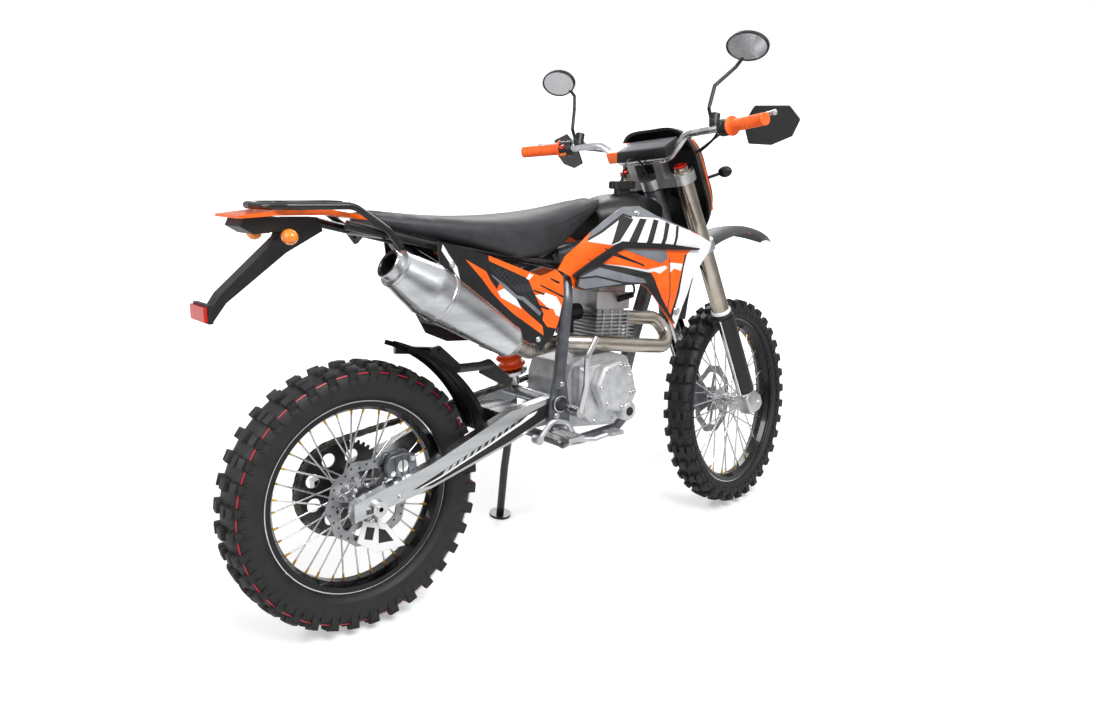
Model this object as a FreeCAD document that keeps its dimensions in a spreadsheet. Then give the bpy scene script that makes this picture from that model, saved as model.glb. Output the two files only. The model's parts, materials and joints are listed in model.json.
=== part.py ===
# Enduro dirt bike, in millimetres, +X forward, +Y to the rider's left, +Z up.
# The bike is drawn upright and steered straight ahead, and each piece's Placement then leans it on its side stand.
import FreeCAD, Part
import math
import os

from FreeCAD import Placement, Rotation, Vector

doc = FreeCAD.newDocument("EnduroBike")

# Driving dimensions: alias, value, meaning.
SIZES = [
    ("wheelbase", 1435, "axle to axle with the steering straight"),
    ("rake", 25.2, "steering axis from the vertical, in degrees"),
    ("fork_offset", 27, "fork legs ahead of the steering axis"),
    ("axle_lead", 39, "front axle ahead of the fork legs"),
    ("lean", 9, "lean to the left on the side stand, in degrees"),
    ("steer_rest", 12, "steering turned to the left at rest, in degrees"),
    ("front_tyre_width", 92, "over the sidewalls"),
    ("rear_tyre_width", 114, "over the sidewalls"),
    ("front_rim_radius", 281.5, "over the rim flange"),
    ("rear_rim_radius", 243.5, "over the rim flange"),
    ("front_tyre_height", 67.5, "rim flange to the top of the knobs"),
    ("rear_tyre_height", 93.5, "rim flange to the top of the knobs"),
    ("front_rim_width", 48, "over the rim flanges"),
    ("rear_rim_width", 62, "over the rim flanges"),
    ("rim_depth", 26, "flange to the spoke bed"),
    ("knob_height", 14, "crown knobs above the carcass"),
    ("knob_rows", 36, "rows of knobs round each tyre"),
    ("spoke_count", 36, "spokes in each wheel"),
    ("spoke_radius", 2.2, ""),
    ("bearing_gap", 0.05, "radial clearance of a shaft in its bore"),
    ("axle_radius", 10, "both axles"),
    ("axle_bore_radius", 6, "hole through the hollow rear axle"),
    ("front_disc_radius", 120, ""),
    ("rear_disc_radius", 110, ""),
    ("disc_thick", 4, ""),
    ("front_disc_line", 60, "front disc from the middle plane"),
    ("rear_disc_line", 68, "rear disc from the middle plane"),
    ("chain_line", 72, "chain from the middle plane"),
    ("chain_pitch", 15.875, ""),
    ("chain_height", 15, "side plates"),
    ("chain_width", 16, "over the side plates"),
    ("rear_teeth", 48, ""),
    ("front_teeth", 13, ""),
    ("output_shaft_along", 632, "front sprocket from the rear axle"),
    ("output_shaft_up", 506, "front sprocket above the ground"),
    ("leg_span", 194, "fork leg to fork leg"),
    ("upper_tube_radius", 27, "fork outer tubes"),
    ("slider_radius", 22, "fork inner tubes"),
    ("upper_tube_low", 379, "lower end of the outer tubes, along the steering axis"),
    ("upper_tube_high", 866, "upper end of the outer tubes"),
    ("lower_clamp_at", 600, "underside of the lower clamp"),
    ("upper_clamp_at", 830, "underside of the upper clamp"),
    ("clamp_thick", 30, ""),
    ("stem_radius", 15, "steering stem"),
    ("head_tube_radius", 28, ""),
    ("bar_radius", 11, "handlebar at the grips"),
    ("bar_middle_radius", 14.3, "handlebar at its clamps"),
    ("grip_radius", 17, ""),
    ("grip_inner", 300, "grip's inner end from the middle plane"),
    ("grip_outer", 418, "grip's outer end from the middle plane"),
    ("pivot_along", 556, "swingarm pivot from the rear axle"),
    ("pivot_up", 503, "swingarm pivot above the ground"),
    ("arm_inner_rear", 92, "swingarm's inner face at the axle"),
    ("arm_inner_front", 84, "swingarm's inner face at the pivot"),
    ("arm_thick", 28, ""),
    ("plate_inner", 114, "frame's pivot plates, inner face"),
    ("plate_thick", 8, ""),
    ("spar_radius", 17, "frame's side spars"),
    ("cradle_radius", 14, "lower cradle tubes"),
    ("subframe_radius", 11, ""),
    ("rack_radius", 8, ""),
    ("header_radius", 21, "exhaust pipe"),
    ("muffler_radius", 61, "at its widest"),
    ("muffler_side", 192, "muffler's axis from the middle plane"),
    ("panel_thick", 5, "side panels and shrouds"),
    ("seat_half_width", 118, ""),
    ("tank_half_width", 105, ""),
    ("cap_radius", 36, "tank cap"),
    ("fin_thick", 3.5, ""),
    ("fin_count", 9, "cylinder fins"),
    ("fin_pitch", 10.5, ""),
    ("stand_radius", 12, "side stand leg"),
    ("stand_pivot_along", 600, ""),
    ("stand_pivot_up", 402, ""),
    ("stand_pivot_side", 150, ""),
    ("peg_length", 95, "footpeg"),
    ("mirror_long", 62, "half the mirror's width"),
    ("mirror_high", 44, "half the mirror's height"),
    ("rack_hole_radius", 3.25, "luggage bolts in the rack's plate"),
    ("rack_hole_span", 60, "luggage bolt to luggage bolt"),
]

sheet = doc.addObject("Spreadsheet::Sheet", "Sizes")
for row, (alias, value, meaning) in enumerate(SIZES, start=1):
    sheet.set("A%d" % row, alias)
    sheet.set("B%d" % row, str(value))
    sheet.set("C%d" % row, meaning)
    sheet.setAlias("B%d" % row, alias)
doc.recompute()


def size(alias):
    return float(sheet.get(alias))


SUBPARTS = {}


# Small helpers for vectors, paths and solids.
def circle_face(centre, direction, radius):
    return Part.Face(Part.Wire(Part.makeCircle(radius, centre, direction)))


def rod(start, end, radius):
    axis = end - start
    return Part.makeCylinder(radius, axis.Length, start, axis)


def bent_path(points, radius):
    """Straight runs joined by tangent arcs of one radius, or as large as the runs allow."""
    edges = []
    last = points[0]
    for before, corner, after in zip(points, points[1:], points[2:]):
        back = (before - corner).normalize()
        ahead = (after - corner).normalize()
        turn = math.pi - back.getAngle(ahead)
        if turn < 0.01:
            continue
        room = 0.45 * min(before.distanceToPoint(corner), after.distanceToPoint(corner))
        reach = min(radius * math.tan(turn / 2), room)
        bend = reach / math.tan(turn / 2)
        first = corner + back * reach
        second = corner + ahead * reach
        towards = (back + ahead).normalize()
        middle = corner + towards * (bend / math.cos(turn / 2) - bend)
        edges.append(Part.LineSegment(last, first).toShape())
        edges.append(Part.Arc(first, middle, second).toShape())
        last = second
    edges.append(Part.LineSegment(last, points[-1]).toShape())
    return Part.Wire(edges)


def tube(points, radius, bend=60):
    path = bent_path(points, bend)
    start = points[0]
    profile = Part.Wire(Part.makeCircle(radius, start, points[1] - start))
    return path.makePipeShell([profile], True, False)


def outline(points, place=None):
    """A closed wire through points given as (along, up) in the XZ plane."""
    corners = [Vector(p[0], 0, p[1]) for p in points]
    wire = Part.makePolygon(corners + [corners[0]])
    if place is not None:
        wire.Placement = place
    return wire


def plate(points, inner, thick, corner=0):
    """A flat plate with its outline in XZ, from y = inner towards positive y."""
    wire = outline(points)
    face = Part.Face(wire)
    solid = face.extrude(Vector(0, thick, 0))
    solid.translate(Vector(0, inner, 0))
    if corner:
        upright = [e for e in solid.Edges if abs(e.Length - thick) < 1e-6
                   and abs(e.tangentAt(e.FirstParameter).y) > 0.999]
        solid = solid.makeFillet(corner, upright)
    return solid


def mirrored(shape):
    return shape.mirror(Vector(0, 0, 0), Vector(0, 1, 0))


def both_sides(shape):
    return Part.makeCompound([shape, mirrored(shape)])


def section(centre, across, up, half_across, half_up, power=1.0):
    """A rounded section: an ellipse drawn out by eight points, closed by a smooth curve."""
    points = []
    for step in range(12):
        angle = 2 * math.pi * step / 12
        cosine = math.cos(angle)
        sine = math.sin(angle)
        a = math.copysign(abs(cosine) ** power, cosine) * half_across
        b = math.copysign(abs(sine) ** power, sine) * half_up
        points.append(centre + across * a + up * b)
    curve = Part.BSplineCurve()
    curve.interpolate(points, PeriodicFlag=True)
    return Part.Wire(curve.toShape())


def feature(name, shape, frame):
    """A plain feature for shapes that no PartDesign or Part primitive fits."""
    item = doc.addObject("Part::Feature", name)
    item.Label = name
    item.Shape = shape
    SUBPARTS[name] = (item, frame)
    return item


def new_body(name, frame):
    body = doc.addObject("PartDesign::Body", name)
    body.Label = name
    SUBPARTS[name] = (body, frame)
    return body


def origin_plane(body, role):
    return next(item for item in body.Origin.OriginFeatures if item.Role == role)


def new_sketch(body, name, role, offset=0):
    sketch = body.newObject("Sketcher::SketchObject", name)
    sketch.AttachmentSupport = [(origin_plane(body, role), "")]
    sketch.MapMode = "FlatFace"
    sketch.AttachmentOffset = Placement(Vector(0, 0, offset), Rotation())
    return sketch


def draw_polygon(sketch, points):
    first = sketch.GeometryCount
    count = len(points)
    for index in range(count):
        here = points[index]
        there = points[(index + 1) % count]
        sketch.addGeometry(Part.LineSegment(Vector(here[0], here[1], 0), Vector(there[0], there[1], 0)), False)
    import Sketcher
    for index in range(count):
        other = first + (index + 1) % count
        sketch.addConstraint(Sketcher.Constraint("Coincident", first + index, 2, other, 1))
    return first


def draw_circle(sketch, x, y, radius_alias, factor=1.0):
    import Sketcher
    radius = size(radius_alias) * factor
    item = sketch.addGeometry(Part.Circle(Vector(x, y, 0), Vector(0, 0, 1), radius), False)
    index = sketch.addConstraint(Sketcher.Constraint("Radius", item, radius))
    sketch.setExpression("Constraints[%d]" % index, "Sizes.%s * %s" % (radius_alias, factor))
    return item


def revolve(body, sketch, name):
    turned = body.newObject("PartDesign::Revolution", name)
    turned.Profile = sketch
    turned.ReferenceAxis = (sketch, ["H_Axis"])
    turned.Angle = 360
    return turned


# Frames of reference, all in the upright bike.
rake = math.radians(size("rake"))
axle_ahead = size("fork_offset") + size("axle_lead")
front_radius = size("front_rim_radius") + size("front_tyre_height")
rear_radius = size("rear_rim_radius") + size("rear_tyre_height")
fork_root = Vector(size("wheelbase") - axle_ahead * math.cos(rake), 0, front_radius - axle_ahead * math.sin(rake))
fork_tilt = Placement(fork_root, Rotation(Vector(0, 1, 0), -size("rake")))


def fork_point(ahead, side, up):
    """A point given in the fork's frame: ahead of the steering axis, to the left, along the axis."""
    return fork_tilt.multVec(Vector(ahead, side, up))


stand_pivot = Vector(size("stand_pivot_along"), size("stand_pivot_side"), size("stand_pivot_up"))
stand_hinge = Vector(-0.13, 1, 0.141).normalize()


# Wheels, each drawn about its own axle along Y.
def lug_ring(outer, width, bead, rows, knob):
    """A tyre with knobs as one closed body of flat faces, a narrow gap between each two rows of knobs."""
    half = width / 2
    base = outer - knob
    flat = half * 0.62
    inner_lug = half * 0.26
    pair_inner = half * 0.16
    pair_outer = half * 0.5
    bulge = (half, bead + (outer - bead) * 0.47)
    bead_edge = (half * 0.62, bead)
    shoulder_low = (half * 0.9, base - knob * 0.55)
    shoulder_outer = (half * 0.97, outer - knob * 0.75)
    shoulder_inner = (flat, outer - knob * 0.12)

    def half_profile(kind):
        if kind == "gap":
            return [(flat, base), shoulder_low, bulge, bead_edge]
        return [(flat, base), shoulder_inner, shoulder_outer, bulge, bead_edge]

    crowns = {
        "single": [(inner_lug, base), (inner_lug, outer)],
        "pair": [(pair_outer, base), (pair_outer, outer), (pair_inner, outer), (pair_inner, base)],
        "gap": [],
    }

    def profile(kind):
        right = half_profile(kind)[::-1] + crowns[kind]
        return right + [(-y, r) for y, r in right[::-1]]

    def at(point, angle):
        return Vector(point[1] * math.cos(angle), point[0], point[1] * math.sin(angle))

    def face(corners):
        return Part.Face(Part.makePolygon(corners + [corners[0]]))

    def block_walls(kind):
        shoulder = [(flat, base), shoulder_inner, shoulder_outer, bulge, shoulder_low]
        walls = [shoulder, [(-y, r) for y, r in shoulder]]
        crown = crowns[kind]
        if kind == "single":
            walls.append([crown[0], crown[1], (-inner_lug, outer), (-inner_lug, base)])
        else:
            walls.append(crown)
            walls.append([(-y, r) for y, r in crown])
        return walls

    kinds = ["single" if row % 2 == 0 else "pair" for row in range(rows)]
    pitch = 2 * math.pi / rows
    lug_share = 0.56
    base_marks = {"single": [inner_lug], "pair": [pair_outer, pair_inner]}
    faces = []
    for row, kind in enumerate(kinds):
        start = row * pitch
        middle = start + pitch * lug_share
        end = start + pitch
        following = kinds[(row + 1) % rows]
        lug_line = profile(kind)
        for first, second in zip(lug_line, lug_line[1:]):
            faces.append(face([at(first, start), at(second, start), at(second, middle), at(first, middle)]))
        gap_half = half_profile("gap")
        for side in (1, -1):
            for first, second in zip(gap_half, gap_half[1:]):
                a = (side * first[0], first[1])
                b = (side * second[0], second[1])
                faces.append(face([at(a, middle), at(b, middle), at(b, end), at(a, end)]))
        near = [flat] + base_marks[kind]
        near = near + [-y for y in near[::-1]]
        far = [flat] + base_marks[following]
        far = far + [-y for y in far[::-1]]
        crown_floor = [at((y, base), middle) for y in near] + [at((y, base), end) for y in far[::-1]]
        faces.append(face(crown_floor))
        for wall in block_walls(kind):
            for angle in (start, middle):
                faces.append(face([at(point, angle) for point in wall]))
        for first, second in ((start, middle), (middle, end)):
            low = bead_edge
            mate = (-bead_edge[0], bead_edge[1])
            faces.append(face([at(low, first), at(mate, first), at(mate, second), at(low, second)]))
    skin = Part.makeCompound(faces)
    skin.sewShape()
    solid = Part.makeSolid(skin.Shells[0])
    if solid.Volume < 0:
        solid.reverse()
    return solid


def make_tyre(name, frame, outer, width_alias, rim_alias):
    row = 2 * math.pi / size("knob_rows")
    bead = (size(rim_alias) + 0.3) / math.cos(row * 0.3)
    ring = lug_ring(outer, size(width_alias), bead, int(size("knob_rows")), size("knob_height"))
    return feature(name, ring, frame)


def make_rim(name, frame, radius_alias, width_alias):
    """A drop-centre rim turned from its profile."""
    body = new_body(name, frame)
    sketch = new_sketch(body, name + "_profile", "YZ_Plane")
    outer = size(radius_alias)
    half = size(width_alias) / 2
    depth = size("rim_depth")
    points = [
        (half, outer), (half - 5, outer), (half - 6, outer - 12), (half * 0.5, outer - 15),
        (half * 0.35, outer - depth + 5), (-half * 0.35, outer - depth + 5), (-half * 0.5, outer - 15),
        (-half + 6, outer - 12), (-half + 5, outer), (-half, outer), (-half + 1, outer - 16),
        (-half * 0.4, outer - depth), (half * 0.4, outer - depth), (half - 1, outer - 16),
    ]
    draw_polygon(sketch, points)
    revolve(body, sketch, name + "_turned")
    return body


def make_hub(name, frame, reach_right, reach_left, rim_alias, rim_width_alias):
    """A hub with two spoke flanges and its laced spokes, bored for the axle."""
    axle = size("axle_radius") + size("bearing_gap")
    barrel = Part.makeCylinder(22, reach_right + reach_left, Vector(0, -reach_right, 0), Vector(0, 1, 0))
    for side in (-30, 26):
        flange = Part.makeCylinder(34, 4, Vector(0, side, 0), Vector(0, 1, 0))
        barrel = barrel.fuse(flange)
    spokes = []
    count = int(size("spoke_count"))
    bed = size(rim_alias) - size("rim_depth") + 1.5
    for index in range(count):
        side = 1 if index % 2 == 0 else -1
        lacing = 1 if (index // 2) % 2 == 0 else -1
        rim_angle = 2 * math.pi * index / count
        hub_angle = rim_angle + lacing * 1.15
        inner = Vector(29 * math.cos(hub_angle), side * 28, 29 * math.sin(hub_angle))
        outer = Vector(bed * math.cos(rim_angle), side * 4, bed * math.sin(rim_angle))
        spokes.append(rod(inner, outer, size("spoke_radius")))
    solid = barrel.multiFuse(spokes)
    bore = Part.makeCylinder(axle, 400, Vector(0, -200, 0), Vector(0, 1, 0))
    return feature(name, solid.cut(bore), frame)


def make_disc(name, frame, radius_alias, line_alias, side):
    """A wave-edged brake disc: a flat ring with scallops cut by a polar pattern, on its carrier."""
    outer = size(radius_alias)
    thick = size("disc_thick")
    line = side * size(line_alias)
    waves = 10
    points = []
    for step in range(waves * 4):
        angle = 2 * math.pi * step / (waves * 4)
        radius = outer - (0, 4, 8, 4)[step % 4]
        points.append(Vector(radius * math.cos(angle), line - thick / 2, radius * math.sin(angle)))
    edge = Part.makePolygon(points + [points[0]])
    solid = Part.Face(edge).extrude(Vector(0, thick, 0))
    solid = solid.cut(Part.makeCylinder(23, 50, Vector(0, line - 25, 0), Vector(0, 1, 0)))
    for step in range(waves):
        angle = 2 * math.pi * (step + 0.5) / waves
        window = Part.makeCylinder(11, thick * 3, Vector(outer * 0.52 * math.cos(angle), line - thick * 1.5,
                                                         outer * 0.52 * math.sin(angle)), Vector(0, 1, 0))
        solid = solid.cut(window)
    return feature(name, solid, frame)


def pitch_radius(teeth):
    return size("chain_pitch") / (2 * math.sin(math.pi / teeth))


def sprocket_shape(teeth, centre, bore, windows):
    """A toothed wheel with one flat-topped tooth between each two chain rollers."""
    pitch = pitch_radius(teeth)
    thick = 6
    points = []
    for tooth in range(teeth):
        middle = 2 * math.pi * (tooth + 0.5) / teeth
        half = math.pi / teeth
        for shift, radius in ((-0.62, pitch - 4.5), (-0.22, pitch + 4), (0.22, pitch + 4), (0.62, pitch - 4.5)):
            angle = middle + shift * half
            points.append(Vector(radius * math.cos(angle), -thick / 2, radius * math.sin(angle)))
    solid = Part.Face(Part.makePolygon(points + [points[0]])).extrude(Vector(0, thick, 0))
    solid = solid.cut(Part.makeCylinder(bore, 40, Vector(0, -20, 0), Vector(0, 1, 0)))
    for step in range(windows):
        angle = 2 * math.pi * (step + 0.5) / windows
        place = Vector(pitch * 0.68 * math.cos(angle), -20, pitch * 0.68 * math.sin(angle))
        solid = solid.cut(Part.makeCylinder(pitch * 0.15, 40, place, Vector(0, 1, 0)))
    solid.translate(centre)
    return solid


def make_sprocket():
    shape = sprocket_shape(int(size("rear_teeth")), Vector(0, size("chain_line"), 0), 22.5, 8)
    return feature("rear_sprocket", shape, "rear_wheel")


# The drive: chain, guides and engine.
def chain_loop():
    """Centres of the chain's two sprockets and the tangent points of the pitch line."""
    rear = Vector(0, 0, rear_radius)
    front = Vector(size("output_shaft_along"), 0, size("output_shaft_up"))
    big = pitch_radius(size("rear_teeth"))
    small = pitch_radius(size("front_teeth"))
    run = front - rear
    slope = math.atan2(run.z, run.x)
    spread = math.asin((big - small) / run.Length)
    return rear, front, big, small, slope, spread


def loop_wire(offset, side):
    rear, front, big, small, slope, spread = chain_loop()
    top = slope + math.pi / 2 - spread
    bottom = slope - math.pi / 2 + spread

    def place(centre, radius, angle):
        return Vector(centre.x + radius * math.cos(angle), side, centre.z + radius * math.sin(angle))

    wrap = []
    turns = 16
    for step in range(turns + 1):
        angle = top + (bottom + 2 * math.pi - top) * step / turns
        wrap.append(place(rear, big + offset, angle))
    turns = 6
    for step in range(turns + 1):
        angle = bottom + (top - bottom) * step / turns
        wrap.append(place(front, small + offset, angle))
    return Part.makePolygon(wrap + [wrap[0]])


def make_chain():
    half = size("chain_height") / 2
    width = size("chain_width")
    plates = []
    for side in (-1, 1):
        inner = size("chain_line") + side * width / 2 - (2 if side > 0 else 0)
        band = Part.Face(loop_wire(half, inner)).cut(Part.Face(loop_wire(-half, inner)))
        plates.append(band.extrude(Vector(0, 2, 0)))
    rear, front, big, small, slope, spread = chain_loop()
    rollers = []
    straight = math.sqrt((front - rear).Length ** 2 - (big - small) ** 2)
    pitch = size("chain_pitch")
    low = size("chain_line") - width / 2 + 1
    reach = width - 2
    for side in (1, -1):
        angle = slope + side * (math.pi / 2 - spread)
        start = rear + Vector(big * math.cos(angle), 0, big * math.sin(angle))
        tip = front + Vector(small * math.cos(angle), 0, small * math.sin(angle))
        along = (tip - start).normalize()
        count = int(straight / (pitch * 2)) - 2
        for index in range(count):
            centre = start + along * (pitch * 2 * (index + 1.5))
            rollers.append(square_pin(centre, along, low, reach))
    return feature("drive_chain", plates[0].multiFuse([plates[1]] + rollers), "chassis")


def square_pin(centre, along, low, reach):
    across = Vector(-along.z, 0, along.x)
    corners = [centre + along * 4.5, centre + across * 4.5, centre - along * 4.5, centre - across * 4.5]
    corners = [Vector(c.x, low, c.z) for c in corners]
    return Part.Face(Part.makePolygon(corners + [corners[0]])).extrude(Vector(0, reach, 0))


def make_engine():
    """Crankcase with its output shaft and front sprocket, as one heavy mass."""
    case = [(608, 600), (592, 560), (592, 470), (612, 425), (760, 408), (822, 450), (838, 540), (820, 600),
            (760, 620), (660, 620)]
    right = plate(case, -112, 170, 12)
    cover = Part.makeCylinder(60, 37, Vector(738, 58, 530), Vector(0, 1, 0))
    shaft = Part.makeCylinder(10, 40, Vector(size("output_shaft_along"), 50, size("output_shaft_up")),
                              Vector(0, 1, 0))
    centre = Vector(size("output_shaft_along"), size("chain_line"), size("output_shaft_up"))
    front_sprocket = sprocket_shape(int(size("front_teeth")), centre, size("axle_radius") - 2, 0)
    shape = right.multiFuse([cover, shaft, front_sprocket])
    return feature("engine_crankcase", shape, "chassis")


def make_clutch_cover():
    """The right-hand casing with its raised rounded cover and oil filter boss."""
    base = plate([(610, 600), (612, 470), (660, 430), (790, 430), (828, 500), (800, 588), (745, 600)], -148, 36, 14)
    raised = plate([(640, 545), (670, 480), (735, 462), (782, 510), (778, 570), (730, 612), (670, 600)], -185, 38, 24)
    filter_boss = Part.makeCylinder(28, 40, Vector(775, -172, 455), Vector(0, 1, 0))
    return feature("clutch_cover", base.multiFuse([raised, filter_boss]), "chassis")


def make_cylinder():
    """The finned barrel and the finned head above it, tilted a little forward."""
    fins = []
    count = int(size("fin_count"))
    pitch = size("fin_pitch")
    core = Part.makeBox(104, 104, 190, Vector(-52, -52, 0))
    for index in range(count):
        fin = Part.makeBox(150, 150, size("fin_thick"), Vector(-75, -75, 12 + index * pitch))
        fins.append(fin)
    head = Part.makeBox(128, 120, 48, Vector(-64, -60, 18 + count * pitch))
    cap = Part.makeBox(96, 100, 26, Vector(-48, -50, 66 + count * pitch))
    shape = core.multiFuse(fins + [head, cap])
    shape.Placement = Placement(Vector(790, -10, 622), Rotation(Vector(0, 1, 0), 5))
    return feature("cylinder_head", shape, "chassis")


def make_carburettor():
    body = Part.makeCylinder(24, 90, Vector(715, -15, 728), Vector(-1, 0, 0.05))
    bowl = Part.makeCylinder(26, 55, Vector(665, -15, 672), Vector(0, 0, 1))
    boot = Part.makeCylinder(31, 60, Vector(640, -15, 731), Vector(-1, 0, 0.05))
    duct = Part.makeBox(250, 34, 60, Vector(350, 50, 705))
    elbow = Part.makeBox(70, 100, 60, Vector(545, -16, 705))
    box = Part.makeBox(150, 140, 150, Vector(240, -70, 735))
    return feature("air_intake", box.multiFuse([body, bowl, boot, duct, elbow]), "chassis")


def make_header():
    pipe = tube([Vector(868, -45, 700), Vector(985, -60, 690), Vector(1012, -84, 640), Vector(970, -114, 612),
                 Vector(860, -124, 628), Vector(690, -120, 655), Vector(600, -76, 662), Vector(500, -84, 655),
                 Vector(430, -150, 668), Vector(352, -size("muffler_side"), 700)],
                size("header_radius"), 60)
    return feature("exhaust_header", pipe, "chassis")


def make_muffler():
    """A tapered round silencer with an end cone and outlet."""
    rear = Vector(6, -size("muffler_side"), 921)
    front = Vector(352, -size("muffler_side"), 700)
    axis = (rear - front).normalize()
    length = (rear - front).Length
    widest = size("muffler_radius")
    profile = [(0, 0), (0, 30), (18, 40), (length * 0.62, widest), (length * 0.72, widest + 2),
               (length * 0.76, widest - 2), (length * 0.93, 44), (length * 0.95, 34), (length, 34), (length, 26),
               (length * 0.9, 26), (length * 0.9, 0)]
    points = [Vector(r, 0, along) for along, r in profile]
    face = Part.Face(Part.makePolygon(points + [points[0]]))
    solid = face.revolve(Vector(0, 0, 0), Vector(0, 0, 1), 360)
    solid.Placement = Placement(front, Rotation(Vector(0, 0, 1), axis))
    return feature("muffler", solid, "chassis")


# Frame and what it carries.
def make_frame():
    head_low = size("lower_clamp_at") + size("clamp_thick") + 6
    head_high = size("upper_clamp_at") - 6
    head = rod(fork_point(0, 0, head_low), fork_point(0, 0, head_high), size("head_tube_radius"))
    pivot = Vector(size("pivot_along"), 0, size("pivot_up"))
    side = size("plate_inner")
    thick = size("plate_thick")
    plate_outline = [(pivot.x - 28, pivot.z + 20), (pivot.x - 34, pivot.z - 20), (pivot.x - 30, 420),
                     (pivot.x + 12, 372), (pivot.x + 40, 378), (pivot.x + 36, pivot.z - 10),
                     (pivot.x + 26, pivot.z + 62), (pivot.x - 18, pivot.z + 62)]
    pieces = [head]
    backbone = tube([fork_point(-10, 0, 790), Vector(870, 0, 925), Vector(640, 0, 885)], 26, 120)
    pieces.append(backbone)
    down = tube([fork_point(-6, 0, 694), Vector(955, 0, 640), Vector(900, 0, 470)], 22, 120)
    pieces.append(down)
    for hand in (1, -1):
        spar = tube([Vector(645, hand * 8, 885), Vector(600, hand * 95, 850), Vector(583, hand * 118, 780),
                     Vector(556, hand * (side + thick / 2), pivot.z + 42)], size("spar_radius"), 70)
        pieces.append(spar)
        cradle = tube([Vector(902, hand * 6, 478), Vector(850, hand * 85, 420), Vector(790, hand * 98, 389),
                       Vector(650, hand * 104, 382), Vector(pivot.x + 10, hand * (side + thick / 2), 392)],
                      size("cradle_radius"), 70)
        pieces.append(cradle)
        sheet_plate = plate(plate_outline, side, thick, 8)
        pieces.append(sheet_plate if hand > 0 else mirrored(sheet_plate))
    cross = rod(Vector(pivot.x + 10, -side - 2, 392), Vector(pivot.x + 10, side + 2, 392), 14)
    pieces.append(cross)
    axle = rod(Vector(pivot.x, -side - thick - 4, pivot.z), Vector(pivot.x, side + thick + 4, pivot.z), 11)
    pieces.append(axle)
    pieces.append(rod(stand_pivot - stand_hinge * 46, stand_pivot - stand_hinge * 12.3, 17))
    shape = pieces[0].multiFuse(pieces[1:])
    stem = rod(fork_point(0, 0, head_low - 20), fork_point(0, 0, head_high + 20),
               size("stem_radius") + size("bearing_gap"))
    return feature("main_frame", shape.cut(stem), "chassis")


def make_subframe():
    pieces = []
    radius = size("subframe_radius")
    for hand in (1, -1):
        pieces.append(tube([Vector(596, hand * 84, 868), Vector(430, hand * 84, 905), Vector(180, hand * 88, 948),
                            Vector(-30, hand * 78, 1000)], radius, 120))
        pieces.append(tube([Vector(578, hand * 104, 712), Vector(400, hand * 90, 822), Vector(200, hand * 88, 938)],
                           radius, 120))
    for along, up in ((300, 927), (60, 974)):
        pieces.append(rod(Vector(along, -86, up), Vector(along, 86, up), 9))
    return feature("rear_subframe", pieces[0].multiFuse(pieces[1:]), "chassis")


def make_rack():
    """A tube rack over the tail with a drilled plate for luggage."""
    radius = size("rack_radius")
    pieces = []
    for hand in (1, -1):
        pieces.append(tube([Vector(90, hand * 108, 945), Vector(60, hand * 108, 985), Vector(-20, hand * 100, 1042),
                            Vector(-170, hand * 90, 1044), Vector(-205, hand * 55, 1044), Vector(-212, 0, 1044)],
                           radius, 45))
        pieces.append(rod(Vector(90, hand * 84, 965), Vector(90, hand * 112, 948), radius))
    for along in (-30, -130):
        pieces.append(rod(Vector(along, -98, 1044), Vector(along, 98, 1044), radius * 0.8))
    deck = Part.makeBox(120, 90, 4, Vector(-140, -45, 1048))
    shape = pieces[0].multiFuse(pieces[1:] + [deck])
    half = size("rack_hole_span") / 2
    for dx in (-half, half):
        for dy in (-half, half):
            hole = Part.makeCylinder(size("rack_hole_radius"), 30, Vector(-80 + dx, dy, 1035))
            shape = shape.cut(hole)
    return feature("luggage_rack", shape, "chassis")


def make_swingarm():
    """Two tapered arms from the pivot to the axle blocks, joined by a bridge ahead of the tyre."""
    def station(along, up, tall, inner):
        thick = size("arm_thick")
        corners = [Vector(along, inner, up - tall / 2), Vector(along, inner + thick, up - tall / 2),
                   Vector(along, inner + thick, up + tall / 2), Vector(along, inner, up + tall / 2)]
        return Part.makePolygon(corners + [corners[0]])

    front = size("arm_inner_front")
    rear = size("arm_inner_rear")
    pivot_x = size("pivot_along")
    pivot_z = size("pivot_up")
    arm = Part.makeLoft([station(pivot_x + 20, pivot_z, 46, front), station(400, 462, 86, front + 1),
                         station(150, 384, 60, rear), station(-62, 336, 44, rear)], True, True)
    slot = Part.makeBox(44, 60, size("axle_radius") * 2, Vector(-32, rear - 10, rear_radius - size("axle_radius")))
    arm = arm.cut(slot)
    bridge = Part.makeBox(90, front * 2 + 4, 60, Vector(390, -front - 2, 436))
    pivot_tube = rod(Vector(pivot_x, -front - 4, pivot_z), Vector(pivot_x, front + 4, pivot_z), 18)
    shape = arm.multiFuse([mirrored(arm), bridge, pivot_tube])
    shape = shape.cut(rod(Vector(pivot_x, -160, pivot_z), Vector(pivot_x, 160, pivot_z), 11.05))
    return feature("swingarm", shape, "chassis")


def make_rear_axle():
    """Hollow axle with its flats, spacers and nuts."""
    outer = size("arm_inner_rear") + size("arm_thick")
    centre = Vector(0, 0, rear_radius)
    shaft = rod(centre + Vector(0, -outer - 14, 0), centre + Vector(0, outer + 14, 0), size("axle_radius"))
    for hand in (1, -1):
        nut = rod(centre + Vector(0, hand * outer, 0), centre + Vector(0, hand * (outer + 12), 0), 19)
        shaft = shaft.fuse(nut)
    bore = rod(centre + Vector(0, -outer - 20, 0), centre + Vector(0, outer + 20, 0), size("axle_bore_radius"))
    return feature("rear_axle", shaft.cut(bore), "chassis")


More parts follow.
